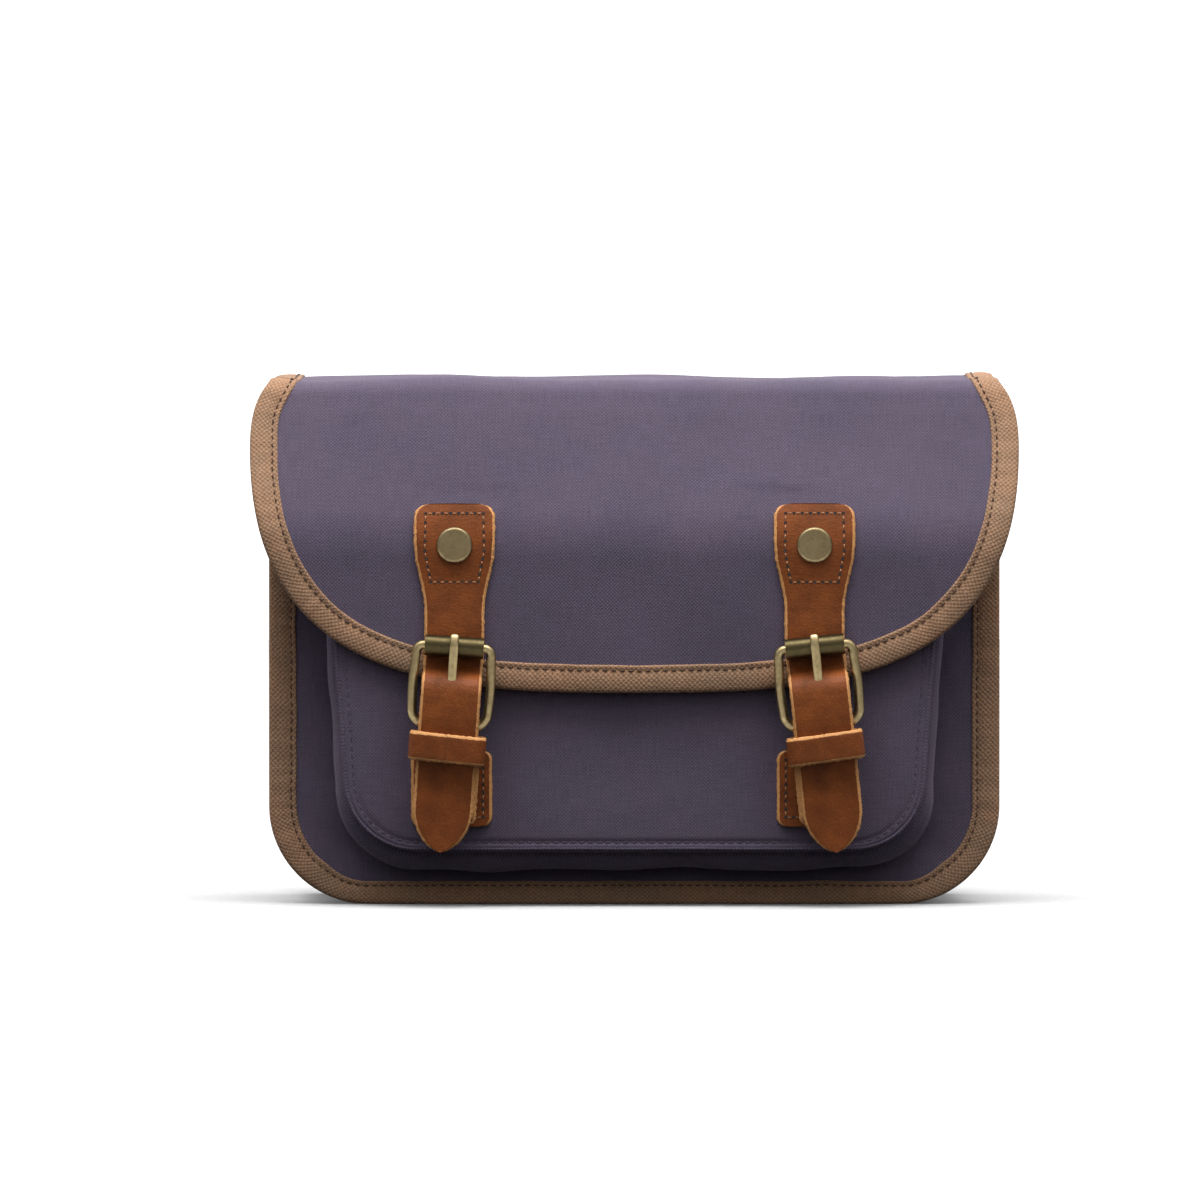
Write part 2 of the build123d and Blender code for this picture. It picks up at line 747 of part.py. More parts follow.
    ring_half = ring_inner_width / 2 + ring_wire_radius
    with BuildPart() as d_ring:
        with BuildLine(Plane.YZ.offset(ring_x)) as ring_path:
            FilletPolyline(
                (middle_y, ring_height),
                (middle_y + ring_half, ring_height),
                (middle_y + ring_half, ring_height - ring_drop),
                (middle_y - ring_half, ring_height - ring_drop),
                (middle_y - ring_half, ring_height),
                (middle_y - loop_start_step, ring_height),
                radius=(ring_bar_corner, ring_bow_radius, ring_bow_radius, ring_bar_corner),
            )
        with BuildSketch(Plane(origin=(ring_x, middle_y, ring_height), z_dir=(0, 1, 0))):
            Circle(ring_wire_radius)
        sweep(path=ring_path.line)
    save(d_ring, f"d_ring_{side}")
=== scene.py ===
import math

import bpy
import numpy as np
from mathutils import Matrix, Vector, noise


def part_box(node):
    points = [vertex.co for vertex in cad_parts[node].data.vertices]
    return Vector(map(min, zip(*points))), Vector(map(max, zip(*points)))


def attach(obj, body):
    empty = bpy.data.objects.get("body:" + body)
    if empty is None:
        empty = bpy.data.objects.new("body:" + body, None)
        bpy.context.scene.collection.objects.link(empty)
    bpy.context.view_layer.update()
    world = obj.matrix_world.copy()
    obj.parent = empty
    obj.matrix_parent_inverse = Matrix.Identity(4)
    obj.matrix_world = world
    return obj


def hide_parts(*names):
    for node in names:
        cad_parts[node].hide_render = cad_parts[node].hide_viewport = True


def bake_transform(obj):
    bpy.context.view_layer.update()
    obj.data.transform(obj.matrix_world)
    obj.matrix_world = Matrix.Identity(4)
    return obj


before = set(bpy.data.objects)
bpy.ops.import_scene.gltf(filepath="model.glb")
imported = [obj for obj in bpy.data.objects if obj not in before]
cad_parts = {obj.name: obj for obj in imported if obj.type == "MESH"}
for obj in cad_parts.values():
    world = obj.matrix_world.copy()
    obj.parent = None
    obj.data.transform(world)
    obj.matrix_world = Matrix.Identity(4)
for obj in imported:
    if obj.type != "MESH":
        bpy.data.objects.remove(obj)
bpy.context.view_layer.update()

# A small canvas messenger bag. Shapes are worked out in millimetres as (x, forward, height),
# where forward is counted from the middle of the body's depth, and placed in metres by place().
MM = 0.001
SIDES = (("left", -1), ("right", 1))

# ---- sizes from the frame ----
front_low, front_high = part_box("front_binding")
back_low, back_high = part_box("back_binding")
MIDDLE_Y = (front_low.y + back_high.y) / 2 / MM


def forward_of(y):
    """How far forward a place in the frame is, in millimetres."""
    return MIDDLE_Y - y / MM


def box_mm(node):
    """A node's box as (low x, high x, back, front, low, high), in millimetres."""
    low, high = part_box(node)
    return low.x / MM, high.x / MM, forward_of(high.y), forward_of(low.y), low.z / MM, high.z / MM


BODY_HALF = front_high.x / MM
BODY_TOP = front_high.z / MM
_, _, _, FACE, _, _ = box_mm("front_panel")
_, POCKET_HALF, _, POCKET_FACE, POCKET_LOW, POCKET_TOP = box_mm("pocket_face")
_, FLAP_HALF, _, _, FLAP_LOW, _ = box_mm("flap_binding")
_, _, _, FLAP_FRONT, _, _ = box_mm("flap_front")
*_, TOP = box_mm("flap_top")
ROLLER = {s: box_mm(f"roller_{s}") for s, _ in SIDES}

# ---- sizes of the cloth and leather ----
BODY_CORNER = 33.0
SEAM = 8.0
TAPE_COVER = 9.3
TAPE = 0.8
FLAP_STOCK = 2.0
FLAP_SHOULDER = FLAP_HALF - 7.3
FLAP_WIDEST = 155.0
BULGE_ACROSS = 63.0
BULGE_UP = 82.0
BULGE_SHARE = 0.55
POCKET_FOOT = POCKET_HALF - 7.0
POCKET_CORNER = 24.0
STRAP_HALF = 10.0
STRAP_X = 60.0
STRAP_LEAN = {"left": 4.0, "right": 6.1}
HEAD_TOP = 134.0
HEAD_HALF = 13.6
HEAD_CORNER = 5.0
HEAD_WAIST = 119.0
NECK_HEIGHT = 103.0
STRAP_LEATHER = 2.0
STRAP_CROWN = 0.25
CANVAS = 1.2
CLOTH_INSET = 1.0
SEAM_IN = 1.8
FLAP_INNER_COVER = 9.0
FLAP_FILL = 0.85
POCKET_SEAM_IN = 3.4
HOLE_PITCH = 2.75
TIP_LONG = 15.0
# Heights from the roller's middle: the buckle's heel bar and the keeper.
HEEL = -26.3
KEEPER_DROP = -33.8
# The tape is cut 24 mm wide; this one is in metres.
TAPE_WIDTH = 0.024
# Light from all round, by height from straight down (0) to straight up (1).
WORLD_LIGHT = ((0.0, 0.01), (0.46, 0.02), (0.52, 0.05), (0.72, 0.30), (1.0, 1.25))


def place(points):
    """Millimetre points (x, forward, height) as metre points in the frame."""
    p = np.asarray(points, float)
    return np.stack([p[..., 0], MIDDLE_Y - p[..., 1], p[..., 2]], axis=-1) * MM


# ---- mesh helpers ----

def soft_noise(points, size, seed):
    """Smooth noise from -1 to 1 at each millimetre point, with bumps of about that size."""
    flat = np.asarray(points, float).reshape(-1, 3) / size
    shift = Vector((seed * 7.31, seed * 3.17, seed * 5.53))
    values = np.array([noise.noise(Vector(p) + shift) for p in flat])
    return values.reshape(np.asarray(points).shape[:-1]) * 1.6


def make_mesh(name, points, faces, cloth, material, raw=None):
    """A smooth mesh object with the cloth's own flat coordinates, in millimetres, on its points."""
    mesh = bpy.data.meshes.new(name)
    mesh.from_pydata([tuple(p) for p in place(points)], [], faces)
    lay = mesh.attributes.new("cloth", "FLOAT_VECTOR", "POINT")
    flat = np.zeros((len(points), 3), np.float32)
    flat[:, : cloth.shape[1]] = cloth
    lay.data.foreach_set("vector", flat.ravel())
    edge = mesh.attributes.new("raw", "FLOAT", "POINT")
    edge.data.foreach_set("value", np.zeros(len(points), np.float32) if raw is None else raw.astype(np.float32))
    for one in material if isinstance(material, list) else [material]:
        mesh.materials.append(one)
    mesh.shade_smooth()
    mesh.validate()
    mesh.update()
    made = bpy.data.objects.new(name, mesh)
    bpy.context.collection.objects.link(made)
    return made


def tube_faces(rings, around, start=0):
    """Quads between rings of points, and a cap at each end."""
    last = start + (rings - 1) * around
    return grid_faces(rings, around, True, start) + [
        tuple(start + j for j in reversed(range(around))), tuple(last + j for j in range(around))]


def turned_over(faces):
    return [tuple(reversed(f)) for f in faces]


def grid_faces(rows, columns, closed=False, start=0):
    """Quads over a grid of points; closed joins the last column to the first."""
    span = columns if closed else columns - 1
    faces = []
    for i in range(rows - 1):
        for j in range(span):
            k = (j + 1) % columns
            faces.append((start + i * columns + j, start + i * columns + k,
                          start + (i + 1) * columns + k, start + (i + 1) * columns + j))
    return faces


def turned_out(points, faces, outward):
    """The faces, turned over if they mostly face away from outward, a direction or a centre."""
    p = place(points)
    quads = np.array(faces)
    a, b, c, d = (p[quads[:, i]] for i in range(4))
    kind, value = outward
    wanted = (a + c) / 2 - place(np.array(value, float)) if kind == "from" else np.array(value, float)
    return turned_over(faces) if (np.cross(c - a, d - b) * wanted).sum() < 0 else faces


FRONTWARD = ("to", (0, -1, 0))
FROM_INSIDE = ("from", (0, 0, 100))
BACKWARD = ("to", (0, 1, 0))


def sheet_of(name, points, cloth, outward, materials, closed=False):
    """A sheet from a grid of millimetre points with its flat coordinates."""
    rows, columns = points.shape[:2]
    flat_points = points.reshape(-1, 3)
    faces = turned_out(flat_points, grid_faces(rows, columns, closed), outward)
    return make_mesh(name, flat_points, faces, cloth.reshape(-1, cloth.shape[-1]), materials)


def thicken(piece, thickness, inside_slot=0):
    """Gives a sheet its cloth's thickness, inward; the inner side takes the material at inside_slot."""
    solid = piece.modifiers.new("thickness", "SOLIDIFY")
    solid.thickness = thickness * MM
    solid.offset = -1
    solid.material_offset = inside_slot
    solid.use_even_offset = True
    return piece


def arc_path(corners, radii, step=0.8):
    """A dense 2-D path through the corners, each rounded by its radius, with points about step apart."""
    corners = [np.array(c, float) for c in corners]
    pieces = [corners[0]]
    for before, corner, after, radius in zip(corners, corners[1:], corners[2:], radii):
        a, b = before - corner, after - corner
        a, b = a / np.linalg.norm(a), b / np.linalg.norm(b)
        half = math.acos(max(-1, min(1, float(a @ b)))) / 2
        back = radius / math.tan(half)
        centre = corner + (a + b) / np.linalg.norm(a + b) * radius / math.sin(half)
        start, end = corner + a * back - centre, corner + b * back - centre
        turn = math.atan2(start[0] * end[1] - start[1] * end[0], float(start @ end))
        for f in np.linspace(0, 1, max(3, int(abs(turn) * radius / step) + 2)):
            c, s = math.cos(turn * f), math.sin(turn * f)
            pieces.append(centre + np.array([start[0] * c - start[1] * s, start[0] * s + start[1] * c]))
    pieces.append(corners[-1])
    return even_path(np.array(pieces), step)


def even_path(line, step):
    """The line again with points evenly about step apart."""
    along = lengths_along(line)
    return sample(np.linspace(0, along[-1], max(3, int(along[-1] / step) + 1)), along, line)


def sample(at, along, values):
    """Rows of values that are known along a line, read at other lengths."""
    return np.stack([np.interp(at, along, column) for column in values.T], axis=-1)


def pairs(a, b):
    return np.stack(np.broadcast_arrays(a, b), axis=-1)


def spots(a, b=0.0, c=0.0):
    """Points from three coordinates that are broadcast together."""
    return np.stack(np.broadcast_arrays(a, b, c), axis=-1)


def lengths_along(line):
    """How far along the line each of its points is."""
    return np.concatenate([[0], np.cumsum(np.linalg.norm(np.diff(line, axis=0), axis=1))])


def unit(v):
    return v / np.maximum(np.linalg.norm(v, axis=-1, keepdims=True), 1e-9)


def tangents(line):
    return unit(np.gradient(line, axis=0))


def inward_of(edge, centre):
    """Unit normals of a flat edge, on the side where the centre lies."""
    way = tangents(edge)
    inward = np.stack([-way[:, 1], way[:, 0]], axis=1)
    return -inward if ((np.asarray(centre) - edge) * inward).sum() < 0 else inward


def rounded(left, radius, least=0.0):
    """From 0 at an end to 1 a radius away from it, along a quarter circle."""
    return np.sqrt(np.maximum(1 - np.clip((radius - left) / radius, 0, 1) ** 2, least))


def bezier(a, b, c, d, count=60):
    t = np.linspace(0, 1, count)[:, None]
    a, b, c, d = (np.array(p, float) for p in (a, b, c, d))
    return (1 - t) ** 3 * a + 3 * (1 - t) ** 2 * t * b + 3 * (1 - t) * t * t * c + t ** 3 * d


# ---- materials ----

class Look:
    """A node material being built: node(), link() and the shader's sockets."""

    def __init__(self, name, colour, roughness, metallic=0.0):
        self.material = bpy.data.materials.new(name)
        self.material.use_nodes = True
        self.tree = self.material.node_tree
        self.shader = self.tree.nodes["Principled BSDF"]
        self.shader.inputs["Base Color"].default_value = (*colour, 1)
        self.shader.inputs["Roughness"].default_value = roughness
        self.shader.inputs["Metallic"].default_value = metallic
        self.colour = colour

    def node(self, kind, **settings):
        made = self.tree.nodes.new(kind)
        for key, value in settings.items():
            setattr(made, key, value)
        return made

    def link(self, a, b):
        self.tree.links.new(a, b)

    def feed(self, socket, value):
        self.link(value, self.shader.inputs[socket])

    def total(self, *parts):
        """The sum of (value, weight) parts."""
        weighted = [self.maths("MULTIPLY", value, weight) for value, weight in parts]
        result = weighted[0]
        for part in weighted[1:]:
            result = self.maths("ADD", result, part)
        return result

    def set(self, socket, value):
        self.shader.inputs[socket].default_value = value

    def maths(self, operation, a, b=None):
        made = self.node("ShaderNodeMath", operation=operation)
        for i, value in enumerate((a, b)):
            if value is None:
                continue
            if hasattr(value, "links"):
                self.link(value, made.inputs[i])
            else:
                made.inputs[i].default_value = value
        return made.outputs[0]

    def flat_coordinates(self):
        return self.node("ShaderNodeAttribute", attribute_name="cloth").outputs["Vector"]

    def place_coordinates(self):
        """Object coordinates in millimetres."""
        scale = self.node("ShaderNodeVectorMath", operation="SCALE")
        self.link(self.node("ShaderNodeTexCoord").outputs["Object"], scale.inputs[0])
        scale.inputs["Scale"].default_value = 1 / MM
        return scale.outputs[0]

    def noise(self, vector, size, detail=2.0, stretch=None, rough=0.5):
        """Noise from 0 to 1 with features of about that size in millimetres."""
        if stretch is not None:
            mapping = self.node("ShaderNodeMapping")
            mapping.inputs["Scale"].default_value = stretch
            self.link(vector, mapping.inputs["Vector"])
            vector = mapping.outputs[0]
        made = self.node("ShaderNodeTexNoise")
        made.inputs["Scale"].default_value = 1 / size
        made.inputs["Detail"].default_value = detail
        made.inputs["Roughness"].default_value = rough
        self.link(vector, made.inputs["Vector"])
        return made.outputs["Fac"]

    def ramp(self, value, stops):
        """Colour by value; stops are (position, colour)."""
        made = self.node("ShaderNodeValToRGB")
        set_stops(made, stops)
        self.link(value, made.inputs[0])
        return made.outputs[0]

    def mix(self, factor, a, b, blend="MIX"):
        made = self.node("ShaderNodeMix", data_type="RGBA", blend_type=blend)
        for socket, value in ((made.inputs[0], factor), (made.inputs[6], a), (made.inputs[7], b)):
            if hasattr(value, "links"):
                self.link(value, socket)
            else:
                socket.default_value = (*value, 1) if isinstance(value, tuple) else value
        return made.outputs[2]

    def bump(self, height, distance, strength=1.0, below=None):
        made = self.node("ShaderNodeBump")
        made.inputs["Distance"].default_value = distance * MM
        made.inputs["Strength"].default_value = strength
        self.link(height, made.inputs["Height"])
        if below is not None:
            self.link(below, made.inputs["Normal"])
        return made.outputs[0]


def set_stops(node, stops):
    """Fills a colour ramp with (position, colour) stops."""
    elements = node.color_ramp.elements
    for i, (at, colour) in enumerate(stops):
        stop = elements[i] if i < 2 else elements.new(at)
        stop.position = at
        stop.color = (*colour, 1)


def shade(colour, factor):
    return tuple(min(1.0, c * factor) for c in colour)


def woven(name, colour, pitch, contrast, depth, mottle, sheen, slub=0.25):
    """Plain-woven cotton: threads over and under, slubs, uneven dye and a soft bloom."""
    look = Look(name, colour, 0.92)
    flat = look.flat_coordinates()
    wander = look.node("ShaderNodeTexNoise")
    wander.inputs["Scale"].default_value = 0.9
    look.link(flat, wander.inputs["Vector"])
    shifted = look.node("ShaderNodeVectorMath", operation="MULTIPLY_ADD")
    look.link(wander.outputs["Color"], shifted.inputs[0])
    shifted.inputs[1].default_value = (pitch * 1.1, pitch * 1.1, 0)
    look.link(flat, shifted.inputs[2])
    parts = look.node("ShaderNodeSeparateXYZ")
    look.link(shifted.outputs[0], parts.inputs[0])
    turn = math.pi / pitch
    across = look.maths("SINE", look.maths("MULTIPLY", parts.outputs[0], turn))
    along = look.maths("SINE", look.maths("MULTIPLY", parts.outputs[1], turn))
    weave = look.maths("MULTIPLY", across, along)
    weave = look.maths("ADD", look.maths("MULTIPLY", weave, 0.5), 0.5)
    warp_slub = look.noise(flat, 1.0, 2.0, stretch=(2.2, 0.12, 1))
    weft_slub = look.noise(flat, 1.0, 2.0, stretch=(0.12, 2.2, 1))
    slubs = look.maths("MULTIPLY", look.maths("ADD", warp_slub, weft_slub), 0.5)
    fuzz = look.noise(flat, pitch * 0.6, 1.0)
    height = look.total((weave, 0.7), (slubs, 0.6), (fuzz, 0.3))
    cloud = look.noise(flat, 26.0, 4.0, rough=0.6)
    cool = tuple(c * k for c, k in zip(colour, (1 - 1.4 * mottle, 1 - mottle * 0.7, 1 - mottle * 0.3)))
    warm = tuple(c * k for c, k in zip(colour, (1 + 1.4 * mottle, 1 + mottle * 0.7, 1 + mottle * 0.4)))
    tone = look.ramp(cloud, ((0.3, cool), (0.7, warm)))
    thread = look.ramp(weave, ((0.15, shade((1, 1, 1), 1 - contrast)), (0.85, (1, 1, 1))))
    tone = look.mix(1.0, tone, thread, "MULTIPLY")
    uneven = look.ramp(slubs, ((0.35, (1 - slub,) * 3), (0.65, (1, 1, 1))))
    tone = look.mix(1.0, tone, uneven, "MULTIPLY")
    speck = look.ramp(fuzz, ((0.3, (0.82, 0.82, 0.82)), (0.7, (1.0, 1.0, 1.0))))
    tone = look.mix(1.0, tone, speck, "MULTIPLY")
    look.feed("Base Color", tone)
    look.feed("Normal", look.bump(height, depth))
    look.set("Sheen Weight", sheen)
    look.set("Sheen Roughness", 0.6)
    look.set("Sheen Tint", (*(0.4 + 0.6 * c / max(colour) for c in colour), 1))
    look.set("Specular IOR Level", 0.2)
    return look.material


def leather(name, colour, raw_colour):
    """Oiled, pulled-up leather with fine grain, darker hollows, and paler fibrous cut edges."""
    look = Look(name, colour, 0.55)
    flat = look.flat_coordinates()
    cells = look.node("ShaderNodeTexVoronoi")
    cells.inputs["Scale"].default_value = 1.3
    look.link(flat, cells.inputs["Vector"])
    grain = look.noise(flat, 0.55, 3.0)
    pores = look.maths("ADD", look.maths("MULTIPLY", cells.outputs["Distance"], 0.5), grain)
    creases = look.noise(flat, 3.0, 4.0, stretch=(0.5, 1.6, 1), rough=0.65)
    height = look.maths("ADD", pores, look.maths("MULTIPLY", creases, 0.9))
    pull = look.noise(flat, 11.0, 4.0, rough=0.6)
    tone = look.ramp(pull, ((0.28, shade(colour, 0.62)), (0.5, colour), (0.75, shade(colour, 1.45))))
    fine = look.ramp(grain, ((0.3, (0.72, 0.70, 0.68)), (0.7, (1.05, 1.05, 1.05))))
    tone = look.mix(1.0, tone, fine, "MULTIPLY")
    edge = look.node("ShaderNodeAttribute", attribute_name="raw").outputs["Fac"]
    fray = look.maths("SUBTRACT", look.noise(flat, 0.5, 3.0), 0.5)
    ragged = look.maths("ADD", edge, look.maths("MULTIPLY", fray, 0.55))
    cut = look.ramp(ragged, ((0.45, (0, 0, 0)), (0.62, (1, 1, 1))))
    fibres = look.noise(flat, 0.35, 2.0)
    raw_tone = look.ramp(fibres, ((0.3, shade(raw_colour, 0.65)), (0.7, shade(raw_colour, 1.15))))
    tone = look.mix(cut, tone, raw_tone)
    look.feed("Base Color", tone)
    shine = look.ramp(pull, ((0.3, (0.62,) * 3), (0.7, (0.46,) * 3)))
    look.feed("Roughness", shine)
    look.feed("Normal", look.bump(height, 0.16, 0.8))
    look.set("Specular IOR Level", 0.16)
    return look.material


def old_brass(name, bright, dark, worn=0.5):
    """Antique-plated metal: brown patina in soft blotches, and brighter on sharp edges, partly as worn plating and
    partly as a painted highlight.
    """
    look = Look(name, bright, 0.32, 1.0)
    spot = look.place_coordinates()
    patina = look.noise(spot, 1.6, 4.0, rough=0.65)
    broad = look.noise(spot, 7.0, 2.0)
    # Sharp edges are painted brighter: partly worn plating, partly a painted highlight, as on the rivets' lit rims.
    sharp_edges = look.node("ShaderNodeNewGeometry").outputs["Pointiness"]
    wear_and_highlight = look.ramp(sharp_edges, ((0.49, (0, 0, 0)), (0.56, (1, 1, 1))))
    mixed = look.total((patina, 0.6), (broad, 0.4))
    tone = look.ramp(mixed, ((worn - 0.14, dark), (worn + 0.16, bright)))
    tone = look.mix(look.maths("MULTIPLY", wear_and_highlight, 0.6), tone, shade(bright, 1.45))
    look.feed("Base Color", tone)
    gloss = look.ramp(mixed, ((0.35, (0.48,) * 3), (0.65, (0.27,) * 3)))
    look.feed("Roughness", gloss)
    dents = look.noise(spot, 0.9, 3.0)
    look.feed("Normal", look.bump(dents, 0.05, 0.6))
    return look.material


def fibrous(name, colour, roughness, size, detail, dark, pale):
    """Short fibres, dark to pale: twisted thread or pressed board."""
    look = Look(name, colour, roughness)
    fibre = look.noise(look.place_coordinates(), size, detail)
    look.feed("Base Color", look.ramp(fibre, ((0.3, dark), (0.7, pale))))
    look.feed("Normal", look.bump(fibre, 0.1))
    return look.material


def thread_look(name, colour):
    return fibrous(name, colour, 0.8, 0.3, 2.0, shade(colour, 0.6), shade(colour, 1.3))


PLUM = (0.135, 0.108, 0.162)
TAN = (0.47, 0.275, 0.165)
HIDE = (0.205, 0.055, 0.012)
RAW_HIDE = (0.66, 0.32, 0.12)
canvas = woven("plum_canvas", PLUM, 0.6, 0.30, 0.12, 0.05, 0.12)
lining = woven("dark_lining", (0.055, 0.045, 0.065), 0.4, 0.3, 0.08, 0.06, 0.1)
tape = woven("tan_tape", TAN, 0.85, 0.36, 0.24, 0.10, 0.10, slub=0.3)
hide = leather("tan_leather", HIDE, RAW_HIDE)
brass = old_brass("antique_brass", (0.36, 0.28, 0.145), (0.15, 0.112, 0.055))
# The rivets get a darker copy of the brass: painted shade that holds down the bright overhead light their faces
# catch.
shaded_rivet_brass = old_brass("shaded_rivet_brass", (0.25, 0.195, 0.105), (0.12, 0.09, 0.045))
# The roller's brass is far darker than the frame's: painted shade that holds down its reflection of the overhead
# light.
shaded_roller_brass = old_brass("shaded_roller_brass", (0.055, 0.043, 0.02), (0.022, 0.016, 0.008))
steel = old_brass("dull_steel", (0.27, 0.25, 0.225), (0.15, 0.14, 0.125))
tape_thread = thread_look("brown_thread", (0.075, 0.035, 0.02))
hide_thread = thread_look("tan_thread", (0.42, 0.22, 0.12))
# Near-black discs for the needle holes: painted shade where the holes' hollows are.
painted_hole_shade = thread_look("needle_hole_shade", (0.02, 0.01, 0.006))
plum_thread = thread_look("plum_thread", (0.075, 0.058, 0.09))
foam = woven("white_foam", (0.7, 0.68, 0.63), 0.8, 0.3, 0.2, 0.05, 0.1)
cloth_and_lining = [canvas, lining]


# ---- stitches: every row of thread is real geometry ----

RING = 6
# A stitch's height, rise and fatness from end to end.
STITCH = ((0.0, -0.6, 0.45), (0.18, 0.6, 0.9), (0.5, 1.0, 1.0), (0.82, 0.6, 0.9), (1.0, -0.6, 0.45))
SHORT_STITCH = ((0.0, -0.25, 0.5), (0.25, 0.1, 1.0), (0.5, 0.16, 1.0), (0.75, 0.1, 1.0), (1.0, -0.25, 0.5))


def turns(count):
    """The angles of points evenly round a ring."""
    return [2 * math.pi * j / count for j in range(count)]


def thread_ring(centre, way, up, wide, deep, rise):
    """Points round a thread, lifted by rise."""
    side = unit(np.cross(way, up))
    return [centre + side * (math.cos(a) * wide) + up * (math.sin(a) * deep + rise) for a in turns(RING)]


def stitch_row(name, line, up, material, long=2.1, gap=0.8, thick=0.5, high=0.28):
    """A row of separate raised stitches along a line of millimetre points, each with its own up."""
    along = lengths_along(line)
    up = np.broadcast_to(np.asarray(up, float), line.shape)
    count = max(1, int(along[-1] / (long + gap)))
    pitch = along[-1] / count
    points, faces, cloth = [], [], []
    for i in range(count):
        faces += tube_faces(len(STITCH), RING, len(points))
        for level, rise, fat in STITCH:
            at = i * pitch + gap / 2 + level * (pitch - gap)
            way = unit(sample(at + 0.2, along, line) - sample(at - 0.2, along, line))
            radius = thick / 2 * fat
            normal = unit(sample(at, along, up))
            points += thread_ring(sample(at, along, line), way, normal, radius, radius, high * rise)
            cloth += [(at, a) for a in turns(RING)]
    return make_mesh(name, np.array(points), faces, np.array(cloth), material)


def joined(name, pieces):
    """Several mesh objects as one."""
    bpy.ops.object.select_all(action="DESELECT")
    for piece in pieces:
        piece.select_set(True)
    bpy.context.view_layer.objects.active = pieces[0]
    bpy.ops.object.join()
    pieces[0].name = name
    return pieces[0]


# ---- bands: leather straps, tabs and keepers ----

# A cut edge of leather: (inset from the side, height as a share of half the thickness, rawness).
CUT_EDGE = [(1.15, 0.98, 0.25), (0.8, 0.9, 0.7), (0.35, 0.66, 1.0), (0.0, 0.2, 1.0), (0.1, -0.6, 1.0),
            (0.5, -0.95, 0.8)]
FACE_SHARE = 0.86


def band(name, centre, across, half, thickness, material, closed=False, crown=0.0):
    """Leather swept along a centreline, with rounded cut edges that are marked raw."""
    count = len(centre)
    across = np.broadcast_to(np.asarray(across, float), (count, 3))
    half = np.broadcast_to(np.asarray(half, float), (count,))
    way = unit(np.roll(centre, -1, axis=0) - np.roll(centre, 1, axis=0)) if closed else tangents(centre)
    normal = unit(np.cross(across, way))
    along = lengths_along(centre)
    section = [(f, 0.0, 1.0, 0.0) for f in np.linspace(-FACE_SHARE, FACE_SHARE, 9)]
    section += [(1.0, *part) for part in CUT_EDGE]
    section += [(f, 0.0, -1.0, 0.0) for f in np.linspace(FACE_SHARE, -FACE_SHARE, 7)]
    section += [(-1.0, *part) for part in reversed(CUT_EDGE)]
    around = len(section)
    points, cloth, raw = [], [], []
    for i in range(count):
        shrink = min(1.0, half[i] / 3.0)
        reach = (half[i] - CUT_EDGE[0][0] * shrink) / FACE_SHARE * 0.93
        for f, inset, high, rawness in section:
            x = f * (reach if abs(f) < 1 else half[i] - inset * shrink)
            lift = high * thickness / 2 + crown * max(0.0, 1 - (x / half[i]) ** 2) * (high > 0)
            points.append(centre[i] + across[i] * x + normal[i] * lift)
            cloth.append((x + (0 if high > 0 else 40), along[i] + (0 if abs(high) == 1 else high)))
            raw.append(rawness)
    points, raw = np.array(points), np.array(raw)
    for way_out, size, seed, most in ((across, 0.9, 3, 0.20), (normal, 0.8, 4, 0.12)):
        points = points + np.repeat(way_out, around, axis=0) * (soft_noise(points, size, seed) * most * raw)[:, None]
    faces = grid_faces(count, around, True)
    if closed:
        faces += [((count - 1) * around + j, (count - 1) * around + (j + 1) % around, (j + 1) % around, j)
                  for j in range(around)]
    else:
        faces += [tuple(range(around)), tuple((count - 1) * around + j for j in reversed(range(around)))]
    first = place(points[list(faces[0])])
    outward = first.mean(axis=0) - place(centre[0])
    if np.cross(first[1] - first[0], first[2] - first[0]) @ outward < 0:
        faces = turned_over(faces)
    return make_mesh(name, points, faces, np.array(cloth), material, raw=raw)


# ---- the flap's surface ----

FOLD_FORWARD = FACE + 4.0
BEND_HEIGHT = 125.0
SEAM_HEIGHT = 163.0
BACK_FORWARD = -FACE - FLAP_STOCK - 0.2
profile = arc_path(
    [(BACK_FORWARD, SEAM_HEIGHT), (BACK_FORWARD, TOP), (FOLD_FORWARD, TOP),
     (FLAP_FRONT, BEND_HEIGHT), (FLAP_FRONT, 50.0)],
    [5.5, 9.0, 43.0], 0.5)
profile_along = lengths_along(profile)
profile_way = tangents(profile)
profile_out = np.stack([-profile_way[:, 1], profile_way[:, 0]], axis=1)
SPLIT = profile_along[np.argmin(np.abs(profile[:, 0] + 5) + 1000 * (profile[:, 1] < TOP - 1))]
front_part = profile[:, 0] > FOLD_FORWARD - 9


def along_at_height(z):
    """How far along the profile the flap's front is at a height."""
    return np.interp(-np.asarray(z, float), -profile[front_part][:, 1], profile_along[front_part])


def flap_relief(x, s):
    """How far the flap's cloth stands proud of its plain shape: soft waves, calmer under the straps."""
    waves = soft_noise(spots(x, s), 58.0, 1) * 1.25 + soft_noise(spots(x, 0.7 * s), 24.0, 2) * 0.42
    near_strap = np.exp(-((np.abs(x) - STRAP_X) / 17) ** 2) * (s > along_at_height(140.0))
    settled = 0.8 * np.clip((along_at_height(165.0) - s) / 12, 0, 1)
    return waves * (1 - 0.75 * near_strap) - settled


def flap_point(x, s, lift=0.0):
    """Points on the flap at x and s along its profile, lifted off the outer face."""
    x, s = np.broadcast_arrays(np.asarray(x, float), np.asarray(s, float))
    rise = (flap_relief(x, s) + lift)[..., None]
    there = sample(s, profile_along, profile) + sample(s, profile_along, profile_out) * rise
    return np.concatenate([x[..., None], there], axis=-1)


